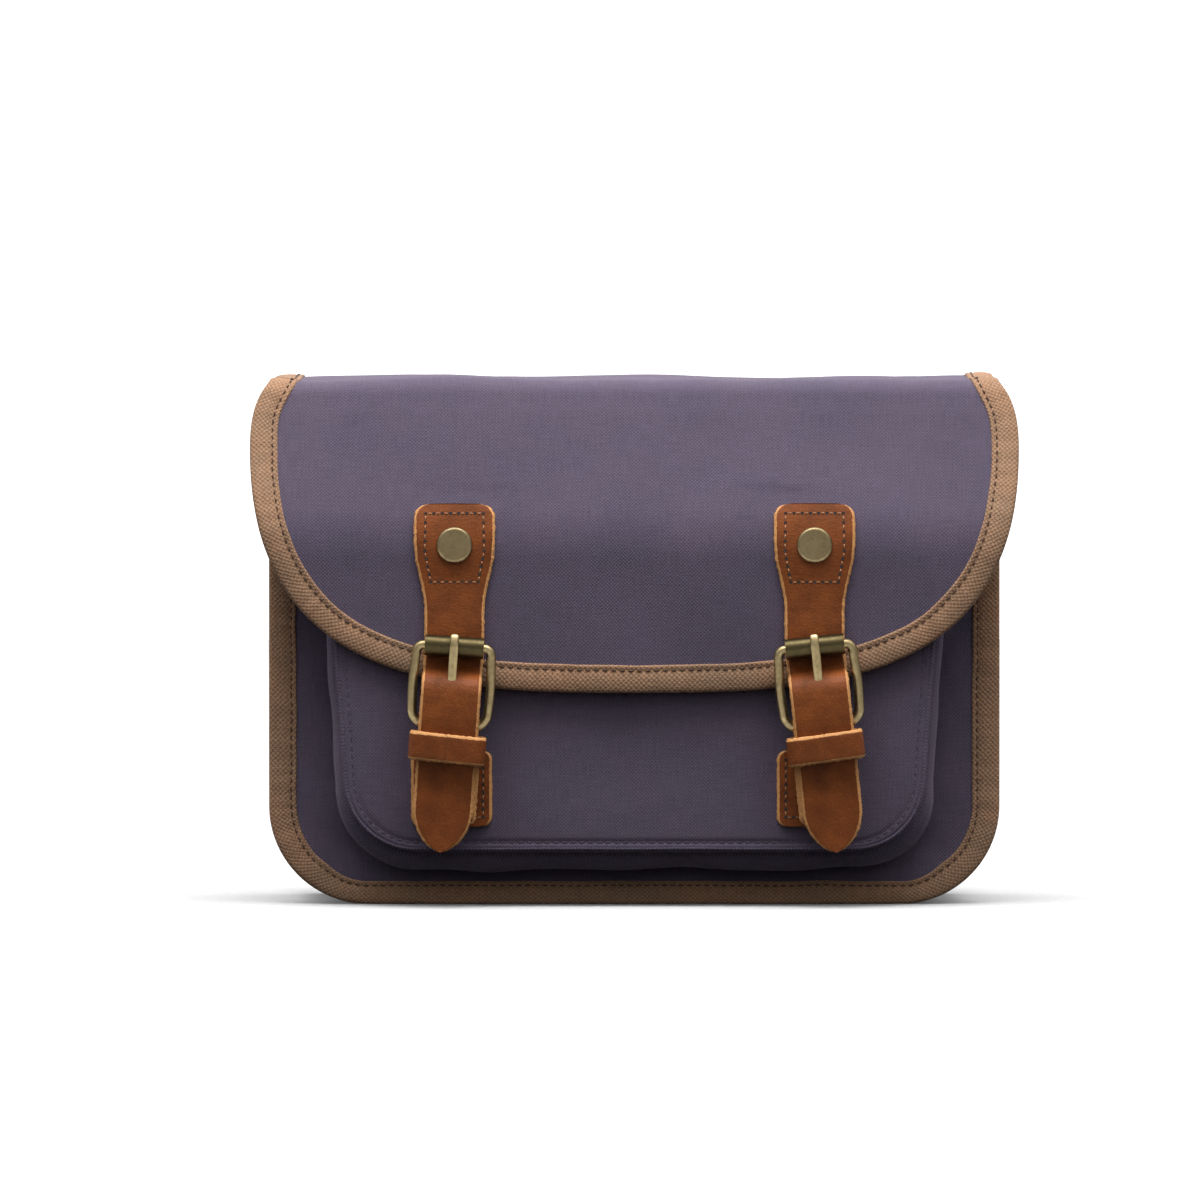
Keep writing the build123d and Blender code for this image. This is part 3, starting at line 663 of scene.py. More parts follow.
def flap_outline(inset):
    """The flap's right-hand edge in (x, height): the side from the top down, then the bottom to the middle."""
    half, shoulder, low = FLAP_HALF - inset, FLAP_SHOULDER - inset, FLAP_LOW + inset
    across, up = BULGE_ACROSS - inset * BULGE_SHARE, BULGE_UP - inset * BULGE_SHARE
    side = bezier((shoulder, TOP + 1.5), (half - 2.3, TOP - 6), (half, TOP - 11), (half, FLAP_WIDEST))
    bottom = bezier((half, FLAP_WIDEST), (half, FLAP_WIDEST - up), (across, low), (0, low), 120)
    return side, bottom


def flap_side_x(s, inset):
    """The flap's half-width on its top and shoulders, at s along the profile."""
    side, _ = flap_outline(inset)
    z = np.interp(s, profile_along, profile[:, 1])
    on_front = s > profile_along[front_part][0]
    return np.where(on_front, np.interp(-z, -side[:, 1], side[:, 0]), side[0, 0])


def flap_bottom(inset):
    """The right half of the flap's curved bottom edge in (x, s), from its widest place to the middle."""
    _, bottom = flap_outline(inset)
    return np.stack([bottom[:, 0], along_at_height(bottom[:, 1])], axis=1)


def mirrored(right):
    """A whole edge, left to right, from its right half that ends in the middle."""
    return np.concatenate([right * np.array([-1, 1]), right[::-1][1:]])


def flap_edge(start):
    """The whole edge from start on the left, round the bottom and back up on the right, in (x, s)."""
    s_side = np.linspace(start, along_at_height(FLAP_WIDEST), 90)
    side = np.stack([flap_side_x(s_side, 0.0), s_side], axis=1)
    return mirrored(np.concatenate([side, flap_bottom(0.0)[1:]]))


def flap_front_sheet():
    """The flap from the middle of the top, over the front fold, to its curved edge."""
    columns, rows = 170, 110
    low_edge = even_path(mirrored(flap_bottom(CLOTH_INSET)), 0.5)
    at = lengths_along(low_edge)
    t, v = np.linspace(0, 1, columns), np.linspace(0, 1, rows)
    low = sample(t * at[-1], at, low_edge)
    side_s = SPLIT + (along_at_height(FLAP_WIDEST) - SPLIT) * v
    side_x = flap_side_x(side_s, CLOTH_INSET)
    top = np.stack([side_x[0] * (2 * t - 1), np.full(columns, SPLIT)], axis=1)
    left = np.stack([-side_x, side_s], axis=1)
    right = np.stack([side_x, side_s], axis=1)
    # The grid is filled in between its four edges.
    v, t = v[:, None, None], t[None, :, None]
    flat = (1 - v) * top[None] + v * low[None] + (1 - t) * left[:, None] + t * right[:, None]
    flat -= (1 - t) * (1 - v) * top[0] + t * (1 - v) * top[-1] + (1 - t) * v * low[0] + t * v * low[-1]
    return sheet_of("flap_cloth_front", flap_point(flat[..., 0], flat[..., 1]), flat, FRONTWARD, [canvas, lining])


def flap_back_sheet():
    """The flap from its seam on the back, over the back edge, to the middle of the top."""
    s = np.linspace(0, SPLIT, 60)
    half = flap_side_x(s, CLOTH_INSET)[0]
    xx, ss = np.meshgrid(np.linspace(-half, half, 130), s)
    return sheet_of("flap_cloth_back", flap_point(xx, ss), pairs(xx, ss), ("to", (0, 0.3, 1)), [canvas, lining])


def tape_section(core, inner_cover):
    """Folded tape as (inward from the edge, lift): the outer leg, round the rim, and the inner leg."""
    top, low = TAPE, -core - TAPE
    middle, radius = (top + low) / 2, (top - low) / 2
    outer = [(TAPE_COVER - back, lift) for back, lift in (
        (0, 0.05), (0.12, 0.55), (0.6, 0.8), (1.3, 0.62), (SEAM_IN, 0.5), (2.3, 0.66), (3.2, 0.95))]
    outer += [(4.2, 1.1), (2.4, 1.05), (1.1, 0.85)]
    rim = [(0.75 - 0.75 * math.sin(a), middle + radius * math.cos(a)) for a in np.linspace(0.5, math.pi - 0.5, 7)]
    inner = [(1.1, low - 0.02), (inner_cover * 0.5, low - 0.1), (inner_cover - 0.6, low),
             (inner_cover - 0.1, low + 0.3), (inner_cover, low + TAPE)]
    return np.array(outer + rim + inner)


def even_width(edge):
    return np.ones(len(edge))


def narrower_below(edge):
    """The body's tape rolls under along the bottom, so that less of it shows there."""
    return 1 - 0.17 * np.clip((6 - edge[:, 1]) / 6, 0, 1)


def folded_tape(name, edge, inward, to_point, section, wander, puff, narrow, outward):
    """Tape over an edge, and its seam: the piece, the seam's line, the way up from it and its length."""
    along = lengths_along(edge)
    wide = (section[:, 0] + wander[:, None] * (section[:, 0] > 5)) * narrow[:, None]
    flat = edge[:, None] + inward[:, None] * wide[..., None]
    cloth = pairs(along[:, None], lengths_along(section)[None])
    piece = sheet_of(name, to_point(flat, section[:, 1] + puff), cloth, outward, tape)
    seam_flat = edge + inward * ((TAPE_COVER - SEAM_IN + wander) * narrow)[:, None]
    seam, over = (to_point(seam_flat, np.full(len(edge), lift)) for lift in (0.55, 1.55))
    return piece, seam, unit(over - seam), along[-1]


def puffed(section):
    """Which of a tape section's points may pucker: all but its sewn edge and its rim."""
    return (section[:, 0] > 0.9) & (section[:, 0] < TAPE_COVER - 0.3)


def tape_along(name, edge, to_point, core, inner_cover, outward, seed, narrow=even_width):
    """Tape folded over an edge given in flat coordinates; to_point(flat, lift) puts it in space."""
    edge = even_path(edge, 1.0)
    section = tape_section(core, inner_cover)
    place_in = spots(lengths_along(edge))
    wander = soft_noise(place_in, 14.0, seed) * 0.22
    pucker = soft_noise(place_in, 3.2, seed + 1) * 0.10 + soft_noise(place_in, 9.0, seed + 2) * 0.12
    puff = pucker[:, None] * puffed(section) * np.sign(section[:, 1])
    inward = inward_of(edge, edge.mean(axis=0))
    return folded_tape(name, edge, inward, to_point, section, wander, puff, narrow(edge), outward)


def flap_space(flat, lift):
    return flap_point(flat[..., 0], flat[..., 1], lift)


def front_space(flat, lift):
    return spots(flat[..., 0], FACE + lift + body_relief(flat[..., 0], flat[..., 1]), flat[..., 1])


def back_space(flat, lift):
    return spots(flat[..., 0], -FACE - lift, flat[..., 1])


# ---- the body's outline ----

def pouch_half(z, half, low, corner, foot=None):
    """Half-width at a height of an outline with rounded bottom corners, narrowing to foot if given."""
    z = np.asarray(z, float)
    straight = half if foot is None else foot + (half - foot) * (z - low) / (POCKET_TOP - low)
    drop = np.clip(low + corner - z, 0, corner)
    return straight - corner + np.sqrt(np.maximum(corner ** 2 - drop ** 2, 0))


def pouch_edge(half, low, corner, top, foot=None):
    """The outline from the top left, down, along the bottom and up to the top right, in (x, z)."""
    foot = half if foot is None else foot
    return arc_path([(-half, top), (-foot, low), (foot, low), (half, top)], [corner, corner], 0.8)


def pouch_rows(low, corner, top, count):
    """Heights packed closer round the corners."""
    bend = low + corner * (1 - np.cos(np.linspace(0, math.pi / 2, count // 2)))
    return np.concatenate([bend, np.linspace(low + corner, top, count // 2 + 1)[1:]])


def side_calm(x):
    """0 at the body's taped sides, 1 well inside."""
    return np.clip((BODY_HALF - np.abs(x) - TAPE_COVER) / 10, 0, 1)


def body_relief(x, z):
    """Soft waves in the body's front, still near its taped edge."""
    inside = side_calm(x) * np.clip((z - TAPE_COVER) / 10, 0, 1) * np.clip((BODY_TOP - 12 - z) / 16, 0, 1)
    slanted = spots(x + 0.8 * z, 0.45 * (z - x))
    return (soft_noise(spots(x, z), 34.0, 8) * 0.9 + soft_noise(slanted, 15.0, 9) * 0.7) * inside


def back_relief(x, z):
    """Soft waves in the body's back."""
    waves = -soft_noise(spots(x, z, 9.0), 45.0, 12) * 0.7
    return waves * side_calm(x) * np.clip((SEAM_HEIGHT - 4 - z) / 12, 0, 1)


def pouch_sheet(name, half, low, corner, top, forward, outward, materials, relief, foot=None, columns=120, count=90):
    """A sheet with rounded bottom corners that faces forward or back, with its relief."""
    z = pouch_rows(low, corner, top, count)[:, None]
    x, z = np.broadcast_arrays(np.linspace(-1, 1, columns) * pouch_half(z, half, low, corner, foot), z)
    return sheet_of(name, spots(x, forward + relief(x, z), z), pairs(x, z), outward, materials)


def edge_distance(x, z, half, low, corner, foot):
    """How far inside the pocket's outline a point is."""
    side = foot + (half - foot) * (z - low) / (POCKET_TOP - low)
    across = side - np.abs(x)
    up = z - low
    in_corner = (across < corner) & (up < corner)
    return np.where(in_corner, corner - np.hypot(corner - across, corner - up), np.minimum(across, up))


# ---- building ----

def dress(piece, slot, moves_with, *nodes, thickness=None, **sheet):
    """Gives a piece its cloth's thickness, hides the nodes it stands for, and puts it on its body, or bakes it in
    place when it is given a bend. The slot and the sheet facts are not used.
    """
    if thickness:
        thicken(piece, thickness)
    if nodes:
        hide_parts(*nodes)
    if isinstance(moves_with, str):
        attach(piece, moves_with)
    else:
        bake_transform(piece)


def sewn(name, line, up, material, moves_with, slot="edge_tape", **size):
    """A row of stitches that rides on a body, or is baked in place where it is given a bend."""
    dress(stitch_row(name, line, up, material, **size), slot, moves_with)


def metre(x, u, z):
    return tuple(place(np.array([x, u, z], float)))


BACK_BEND = ("bag", "flap_top", metre(0, -FACE - 1, 169.0), metre(0, -FACE + 9, TOP))
FRONT_BEND = ("flap_top", "flap_front", metre(0, 17.0, TOP + 1), metre(0, 36.0, TOP - 3))


TAPE_STITCH = {"long": 1.9, "gap": 0.95, "thick": 0.55}


def make_flap():
    front_long = along_at_height(FLAP_LOW) - SPLIT
    dress(thicken(flap_front_sheet(), FLAP_STOCK, 1), "canvas", FRONT_BEND, "flap_front", "flap_front_lining",
          flat=(2 * FLAP_HALF * MM, front_long * MM), held="draped", rests_on=["pocket_face"],
          area=2 * FLAP_HALF * front_long * FLAP_FILL * MM * MM)
    dress(thicken(flap_back_sheet(), FLAP_STOCK, 1), "canvas", BACK_BEND, "flap_top", "flap_top_lining",
          flat=(2 * FLAP_SHOULDER * MM, SPLIT * MM), held="draped", rests_on=["back_panel"])

    strip, seam, up, long = tape_along("flap_tape_front", flap_edge(SPLIT), flap_space, FLAP_STOCK,
                                       FLAP_INNER_COVER, FRONTWARD, 20)
    dress(strip, "edge_tape", FRONT_BEND, "flap_binding", flat=(long * MM, TAPE_WIDTH), held="stretched",
          rests_on=["flap_front"])
    sewn("flap_stitches", seam, up, tape_thread, FRONT_BEND, **TAPE_STITCH)

    for side, sign in SIDES:
        s = np.linspace(-1.0, SPLIT, 120)
        line = pairs(sign * flap_side_x(np.maximum(s, 0), 0.0), s)
        strip, seam, up, long = tape_along_side(f"flap_tape_{side}", line, sign, 24 + sign)
        # One node holds both strips, so only the left one stands for it.
        nodes = ["flap_top_binding"] if side == "left" else []
        dress(strip, "edge_tape", BACK_BEND, *nodes, flat=(long * MM, TAPE_WIDTH), held="stretched",
              rests_on=["flap_top"])
        sewn(f"flap_top_stitches_{side}", seam, up, tape_thread, BACK_BEND, **TAPE_STITCH)

    # The flap is sewn to the back with two rows.
    reach = FLAP_SHOULDER - TAPE_COVER - 1
    x = np.linspace(-reach, reach, 200)
    for i, s in enumerate((1.8, 7.5)):
        sewn(f"back_seam_stitches_{i + 1}", flap_point(x, s), (0, -1, 0), plum_thread, BACK_BEND, slot="canvas",
             long=2.4, gap=0.7)


def tape_along_side(name, line, sign, seed):
    """Tape on one straight side of the flap's top, whose inward side is towards the middle."""
    line = even_path(line, 1.0)
    section = tape_section(FLAP_STOCK, FLAP_INNER_COVER)
    pucker = soft_noise(spots(lengths_along(line)), 3.2, seed) * 0.10
    inward = np.tile([-sign, 0.0], (len(line), 1))
    return folded_tape(name, line, inward, flap_space, section, np.zeros(len(line)),
                       pucker[:, None] * puffed(section), even_width(line), FROM_INSIDE)


def make_body():
    for name, forward, outward, relief, high in (
            ("front", FACE, FRONTWARD, body_relief, BODY_TOP),
            ("back", -FACE, BACKWARD, back_relief, box_mm("back_panel")[5])):
        panel = pouch_sheet(f"body_{name}", BODY_HALF - CLOTH_INSET, CLOTH_INSET, BODY_CORNER - CLOTH_INSET,
                            BODY_TOP, forward, outward, cloth_and_lining, relief)
        dress(panel, "canvas", "bag", f"{name}_panel", thickness=CANVAS, flat=(2 * BODY_HALF * MM, high * MM),
              held="stretched", rests_on=[f"{name}_padding"])

    edge = pouch_edge(BODY_HALF, 0.0, BODY_CORNER, BODY_TOP)
    for name, space, outward, seed in (("front", front_space, FRONTWARD, 30), ("back", back_space, BACKWARD, 36)):
        strip, seam, up, long = tape_along(f"body_tape_{name}", edge, space, 2 * CANVAS, SEAM - 0.8, outward, seed,
                                           narrower_below)
        lift_to_ground(strip)
        dress(strip, "edge_tape", "bag", f"{name}_binding", flat=(long * MM, TAPE_WIDTH), held="stretched",
              rests_on=[f"{name}_panel"])
        sewn(f"body_stitches_{name}", seam, up, tape_thread, "bag", **TAPE_STITCH)

    make_gusset()


def lift_to_ground(piece):
    """Rests a piece's lowest points on the ground instead of a little under it."""
    for vertex in piece.data.vertices:
        vertex.co.z = max(vertex.co.z, 0.0)


def make_gusset():
    """The side and base strip, with its flanges turned out into the taped seams."""
    deep, lip, tab_height = FACE - 1.4, 1.2, 138
    section = arc_path([(deep, lip), (deep, SEAM), (-deep, SEAM), (-deep, lip)], [2.2, 2.2], 1.6)
    edge = even_path(pouch_edge(BODY_HALF, 0.0, BODY_CORNER, BODY_TOP), 2.2)
    along = lengths_along(edge)[:, None]
    u, a = section.T
    wall = np.clip((a - 6.5) / 1.5, 0, 1) * np.clip((FACE - 4 - np.abs(u)) / 14, 0, 1)
    near_tab = np.exp(-((edge[:, 1:] - tab_height) / 26) ** 2) * np.exp(-(u / 16) ** 2)
    bulge = (1.6 + soft_noise(spots(along, u), 24.0, 15) * 1.5) * wall * (1 - near_tab)
    flat = edge[:, None] + inward_of(edge, (0, 90))[:, None] * (a - bulge)[..., None]
    piece = sheet_of("side_gusset", spots(flat[..., 0], u, flat[..., 1]), pairs(u, along), FROM_INSIDE,
                     cloth_and_lining)
    dress(piece, "canvas", "bag", "gusset", thickness=CANVAS,
          flat=((2 * FACE + 2 * SEAM) * MM, along[-1, 0] * MM), held="stretched", rests_on=["base_board"])


def pocket_relief(x, z):
    """The pocket's face: a flat sewn margin, a seam groove, and a softly filled middle."""
    inside = edge_distance(x, z, POCKET_HALF, POCKET_LOW, POCKET_CORNER, POCKET_FOOT)
    waves = soft_noise(spots(x, z), 48.0, 41) * 0.8 + soft_noise(spots(x, z), 19.0, 42) * 0.22
    calm = 1 - 0.85 * np.exp(-((np.abs(x) - STRAP_X) / 22) ** 2)
    rise = np.clip((inside - 3.5) / 14, 0, 1)
    margin = -np.exp(-(np.maximum(inside, 0) / 1.2) ** 2) - 0.45 * np.exp(-((inside - POCKET_SEAM_IN) / 0.9) ** 2)
    return margin + rise * (0.25 + waves * calm)


# The pocket's gusset rolls out below its face and back in: (outward, share of the way from the body).
POCKET_ROLL = np.array([(-0.6, 0.985), (-1.0, 0.93), (-1.5, 0.85), (-0.4, 0.80), (2.4, 0.76), (5.0, 0.66),
                        (6.4, 0.52), (6.6, 0.36), (5.8, 0.2), (5.0, 0.08), (5.2, 0.0)])


def make_pocket():
    face = pouch_sheet("pocket_front", POCKET_HALF, POCKET_LOW, POCKET_CORNER, POCKET_TOP, POCKET_FACE, FRONTWARD,
                       cloth_and_lining, pocket_relief, foot=POCKET_FOOT, columns=220, count=150)
    dress(face, "canvas", "bag", "pocket_face", thickness=CANVAS,
          flat=(2 * POCKET_HALF * MM, (POCKET_TOP - POCKET_LOW) * MM), held="stretched", rests_on=["pocket_gusset"])

    deep = POCKET_FACE - FACE
    grow, u = even_path(POCKET_ROLL * np.array([1, deep]), 0.8).T
    edge = even_path(pouch_edge(POCKET_HALF, POCKET_LOW, POCKET_CORNER, POCKET_TOP, POCKET_FOOT), 1.6)
    outward = -inward_of(edge, (0, 80))
    along = lengths_along(edge)[:, None]
    side_share = 0.42 + 0.58 * np.clip(-outward[:, 1:], 0, 1)
    waves = soft_noise(spots(along, 0.6 * u), 21.0, 44) * 1.2
    swell = grow * side_share + waves * np.sin(np.clip(u / deep, 0, 1) * math.pi)
    flat = edge[:, None] + outward[:, None] * swell[..., None]
    piece = sheet_of("pocket_side", spots(flat[..., 0], FACE + u, flat[..., 1]), pairs(u, along),
                     ("from", (0, POCKET_FACE, 90)), cloth_and_lining)
    dress(piece, "canvas", "bag", "pocket_gusset", thickness=1.0, flat=(deep * 1.25 * MM, along[-1, 0] * MM),
          held="stretched", rests_on=["front_panel"])

    # A line of thread in the cloth's own colour runs a little inside the face's edge.
    n = POCKET_SEAM_IN
    x, z = pouch_edge(POCKET_HALF - n, POCKET_LOW + n, POCKET_CORNER - n, POCKET_TOP, POCKET_FOOT - n).T
    sewn("pocket_stitches", spots(x, POCKET_FACE + pocket_relief(x, z) + 0.05, z), (0, 1, 0), plum_thread, "bag",
         slot="canvas", long=2.3, gap=0.6, thick=0.4, high=0.16)

    # The pocket's mouth is hemmed with a folded tape.
    half, top, low = POCKET_HALF - 2, POCKET_TOP + 0.7, POCKET_TOP - 9.5
    outer, inner = POCKET_FACE + 0.75, POCKET_FACE - 1.95
    section = arc_path([(outer, low), (outer, top), (inner, top), (inner, low)], [1.0, 1.0], 0.8)
    x = np.linspace(-half, half, 160)
    lift = pocket_relief(x, np.full_like(x, POCKET_TOP - 4)) * 0.9
    hem = sheet_of("pocket_mouth_tape", spots(x, section[:, :1] + lift, section[:, 1:]),
                   pairs(x, lengths_along(section)[:, None]), ("from", (0, POCKET_FACE - 0.6, POCKET_TOP - 5)), tape)
    dress(hem, "edge_tape", "bag", "pocket_hem", flat=(2 * half * MM, 0.022), held="stretched",
          rests_on=["pocket_face"])


def ring_path(half_x, half_u, corner, count):
    """A closed rounded rectangle in (x, forward), and how far along it each point is."""
    loop = arc_path([(0, half_u), (half_x, half_u), (half_x, -half_u), (-half_x, -half_u),
                     (-half_x, half_u), (0, half_u)], [corner] * 4, 1.0)
    along = lengths_along(loop)
    at = np.linspace(0, along[-1], count, endpoint=False)
    return sample(at, along, loop), at


def make_lining():
    """The drop-in lining: rings down its walls, then smaller ones over its floor."""
    _, high_x, _, front, low, high = box_mm("lining")
    bend = 24
    levels = np.concatenate([np.linspace(high - 1, low + bend, 26),
                             low + bend * (1 - np.sin(np.linspace(0, 1, 14) * math.pi / 2))])
    rings, cloth = [], []
    for level in levels:
        half = float(pouch_half(level, high_x - 0.4, low, 21.0))
        loop, at = ring_path(half, front - 0.4, 5.0, 150)
        rings.append(spots(*loop.T, level))
        cloth.append(pairs(at, level))
    lowest = rings[-1]
    for share in (0.85, 0.6, 0.3, 0.02):
        ring = lowest * np.array([share, share, 1])
        rings.append(ring)
        cloth.append(pairs(ring[:, 1], ring[:, 0] + 400))
    points = np.array(rings)
    inward = unit(np.array([0, 0, 90.0]) - points) * np.array([1, 1, 0])
    points = points + inward * (np.abs(soft_noise(points, 30.0, 51)) * 1.1)[..., None]
    bag = sheet_of("lining_bag", points, np.array(cloth), ("from", (0, 0, 90)), lining, closed=True)
    bag.data.flip_normals()
    around = 2 * (2 * high_x + 2 * front)
    dress(bag, "lining_cloth", "bag", "lining", thickness=0.5, flat=(around * MM, (high - low + front) * MM),
          held="hung", rests_on=["mouth_trim"])


def make_slip_pocket():
    low_x, high_x, back, front, low, high = box_mm("slip_pocket")
    x, z = np.meshgrid(np.linspace(low_x, high_x, 60), np.linspace(low, high, 40))
    curve = np.sqrt(np.clip((high_x - np.abs(x)) / 6, 0, 1) * np.clip((z - low) / 6, 0, 1))
    u = back + 0.6 + (front - back - 0.6) * curve * (0.92 + 0.08 * soft_noise(spots(x, z), 22.0, 53))
    slip = sheet_of("inner_slip_pocket", spots(x, u, z), pairs(x, z), FRONTWARD, lining)
    dress(slip, "lining_cloth", "bag", "slip_pocket", thickness=0.8,
          flat=((high_x - low_x + 10) * MM, (high - low + 5) * MM), held="stretched", rests_on=["lining"])
    for i, drop in enumerate((2.0, 6.0)):
        line = spots(np.linspace(low_x + 8, high_x - 8, 120), front + 0.1, high - drop)
        sewn(f"slip_pocket_stitches_{i + 1}", line, (0, 1, 0), plum_thread, "bag", slot="lining_cloth",
             long=2.4, gap=0.7, thick=0.4, high=0.15)


def make_mouth_facing():
    _, high_x, _, front, low, high = box_mm("mouth_trim")
    section = arc_path([(-2.6, low), (-2.6, high + 0.1), (0.9, high + 0.1), (0.9, low + 2)], [1.2, 1.2], 0.7)
    loop, at = ring_path(high_x - 0.4, front + 0.4, 4.0, 220)
    flat = loop[None] - inward_of(loop, (0, 0))[None] * (section[:, 0] - 1.6)[:, None, None]
    points = spots(flat[..., 0], flat[..., 1], section[:, 1:])
    points[..., 2] += soft_noise(points, 9.0, 56) * 0.15
    trim = sheet_of("mouth_facing", points, pairs(at, lengths_along(section)[:, None]), ("from", (0, 0, low)), tape,
                    closed=True)
    dress(trim, "lining_cloth", "bag", "mouth_trim", flat=(at[-1] * MM, 0.025), held="stretched",
          rests_on=["lining"])


def make_inside():
    """The lining, its slip pocket, the mouth's facing and the foam behind the panels."""
    make_lining()
    make_slip_pocket()
    make_mouth_facing()
    for name in ("front", "back"):
        _, high_x, back, front, low, high = box_mm(f"{name}_padding")
        soft = lambda x, z: np.clip(np.minimum((high_x - np.abs(x)), (z - low)) / 6, 0, 1) * 0.2
        pad = pouch_sheet(f"{name}_foam", high_x - 1, low + 1, 20.0, high - 1, front - 0.3, FRONTWARD, foam, soft,
                          columns=40, count=30)
        thicken(pad, front - back - 0.5)
        dress(pad, "foam", "bag", f"{name}_padding")


# ---- straps ----

def roller_middle(side):
    """The roller's middle as (forward, height)."""
    _, _, back, front, low, high = ROLLER[side]
    return (back + front) / 2, (low + high) / 2


def leaning(side, sign, points):
    """Points (across, forward, up the strap) from the roller, turned with the strap about it."""
    lean = math.radians(STRAP_LEAN[side])
    a, u, v = np.asarray(points, float).T
    x = sign * STRAP_X + a * math.cos(lean) - sign * math.sin(lean) * v
    return spots(x, u, roller_middle(side)[1] + v * math.cos(lean) + sign * math.sin(lean) * a)


def strap_line(side, sign):
    """The strap's centreline from its head to its tip, the way across it, and its half-widths."""
    x0 = sign * STRAP_X
    lean = math.radians(STRAP_LEAN[side])
    roller_u, roller_z = roller_middle(side)
    over = box_mm(f"strap_{side}")[3] - STRAP_LEATHER / 2
    head_s = np.linspace(along_at_height(HEAD_TOP), along_at_height(110.0), 34)
    head = flap_point(x0, head_s, STRAP_LEATHER / 2 + 0.15)
    neck = FLAP_FRONT + TAPE + 0.3 + STRAP_LEATHER / 2
    # Down the neck, over the roller, and down its front to the tip: (forward, height from the roller).
    drops = [(neck + 0.1, 6.0), (neck, 1.0), (neck + 0.1, -4.2), (neck + 1.3, -7.4), (roller_u - 0.4, -9.4),
             (roller_u + 3.0, -10.8), (over - 0.5, -13.2), (over, -18.0), (over, -25.0), (over - 0.8, -30.0),
             (over - 2.2, -36.0), (over - 3.9, -43.0), (over - 4.6, -50.0), (over - 4.8, -68.4)]
    lower = np.array([(x0, u, roller_z + v) for u, v in [(neck - 0.5, 13.0)] + drops])
    line = np.concatenate([head, lower])
    for _ in range(2):
        line = even_path(smooth_path(line), 0.5)
    drop = np.clip(roller_z - line[:, 2], 0, None)
    line[:, 0] += sign * math.tan(lean) * drop
    turned = np.clip(drop / 6, 0, 1) * lean * sign
    s = lengths_along(line)
    half = np.interp(line[:, 2], [NECK_HEIGHT - 4, NECK_HEIGHT, 108, HEAD_WAIST - 3, HEAD_WAIST + 3, HEAD_TOP],
                     [STRAP_HALF, STRAP_HALF + 0.25, 11.2, 13.1, HEAD_HALF - 0.05, HEAD_HALF])
    corner = np.clip(HEAD_CORNER - s, 0, HEAD_CORNER)
    half = half - HEAD_CORNER * 0.92 + np.sqrt(HEAD_CORNER ** 2 - corner ** 2) * 0.92
    tip = np.clip((TIP_LONG - (s[-1] - s)) / TIP_LONG, 0, 1)
    half = half * np.maximum(1 - tip ** 2.0, 0.0) ** 0.62 + 0.25 * tip
    return line, spots(np.cos(turned), 0.0, np.sin(turned)), half


def smooth_path(line):
    """One round of corner-cutting that keeps the ends."""
    a, b = line[:-1], line[1:]
    cut = np.stack([a * 0.75 + b * 0.25, a * 0.25 + b * 0.75], axis=1).reshape(-1, 3)
    return np.concatenate([line[:1], cut, line[-1:]])


def holes_and_stitches(name, corners, to_point, body):
    """Needle holes, each a dark disc of painted shade, with thread between them round a closed path in flat
    coordinates.
    """
    corners = [np.array(c, float) for c in corners]
    threads, holes = [], []
    for a, b in zip(corners, corners[1:] + corners[:1]):
        count = max(2, int(round(np.linalg.norm(b - a) / HOLE_PITCH)))
        for i in range(count):
            threads.append((a + (b - a) * (i + 0.26) / count, (b - a) * 0.5 / count))
            holes.append(a + (b - a) * i / count)
    points, faces, cloth = [], [], []
    for start, run in threads:
        faces += tube_faces(len(SHORT_STITCH), RING, len(points))
        for level, rise, fat in SHORT_STITCH:
            flat = start + run * level
            centre, up = to_point(flat)
            way = unit(to_point(flat + run * 0.1)[0] - centre)
            points += thread_ring(centre, way, up, 0.22 * fat, 0.2 * fat, rise)
            cloth += [tuple(flat)] * RING
    thread = make_mesh(f"{name}_thread", np.array(points), faces, np.array(cloth), hide_thread)
    # Each needle hole is a slightly raised dark disc: painted shade in place of the hole's hollow.
    points, faces, cloth = [], [], []
    for flat in holes:
        base = len(points)
        centre, up = to_point(flat)
        way = unit(to_point(flat + np.array([0.2, 0.0]))[0] - centre)
        side = unit(np.cross(way, up))
        points.append(centre + up * 0.10)
        cloth.append((0.0, 0.0))
        for radius, lift in ((0.42, 0.08), (0.58, 0.0)):
            points += [centre + (way * math.cos(a) + side * math.sin(a)) * radius + up * lift for a in turns(8)]
            cloth += [(radius, a) for a in turns(8)]
        faces += [(base, base + 1 + j, base + 1 + (j + 1) % 8) for j in range(8)]
        faces += grid_faces(2, 8, True, base + 1)
    hole = make_mesh(f"{name}_holes", np.array(points), faces, np.array(cloth), painted_hole_shade)
    for piece in (thread, hole):
        dress(piece, "leather", body)


def make_strap_leather(side, sign):
    """The strap in one piece from its sewn head on the flap to its tip."""
    x0 = sign * STRAP_X
    line, across, half = strap_line(side, sign)
    strap = band(f"buckle_strap_{side}", line, across, half, STRAP_LEATHER, hide, crown=STRAP_CROWN)
    dress(strap, "leather", ("flap_front", f"strap_{side}", metre(x0, 63, 111.0), metre(x0, 63, 97.0)),
          f"strap_{side}", f"strap_head_{side}")

    def on_head(flat):
        lift = STRAP_LEATHER + 0.17 + STRAP_CROWN * (1 - (flat[0] / 12.8) ** 2)
        here = flap_point(x0, flat[1], lift)
        return here + np.array([flat[0], 0, 0]), unit(flap_point(x0, flat[1], lift + 1) - here)

    top, waist, low = (along_at_height(z) for z in (HEAD_TOP - 3.2, HEAD_WAIST, 108.7))
    holes_and_stitches(f"head_{side}", [(-9.6, top), (9.6, top), (9.9, waist), (7.9, low), (-7.9, low),
                                        (-9.9, waist)], on_head, "flap_front")


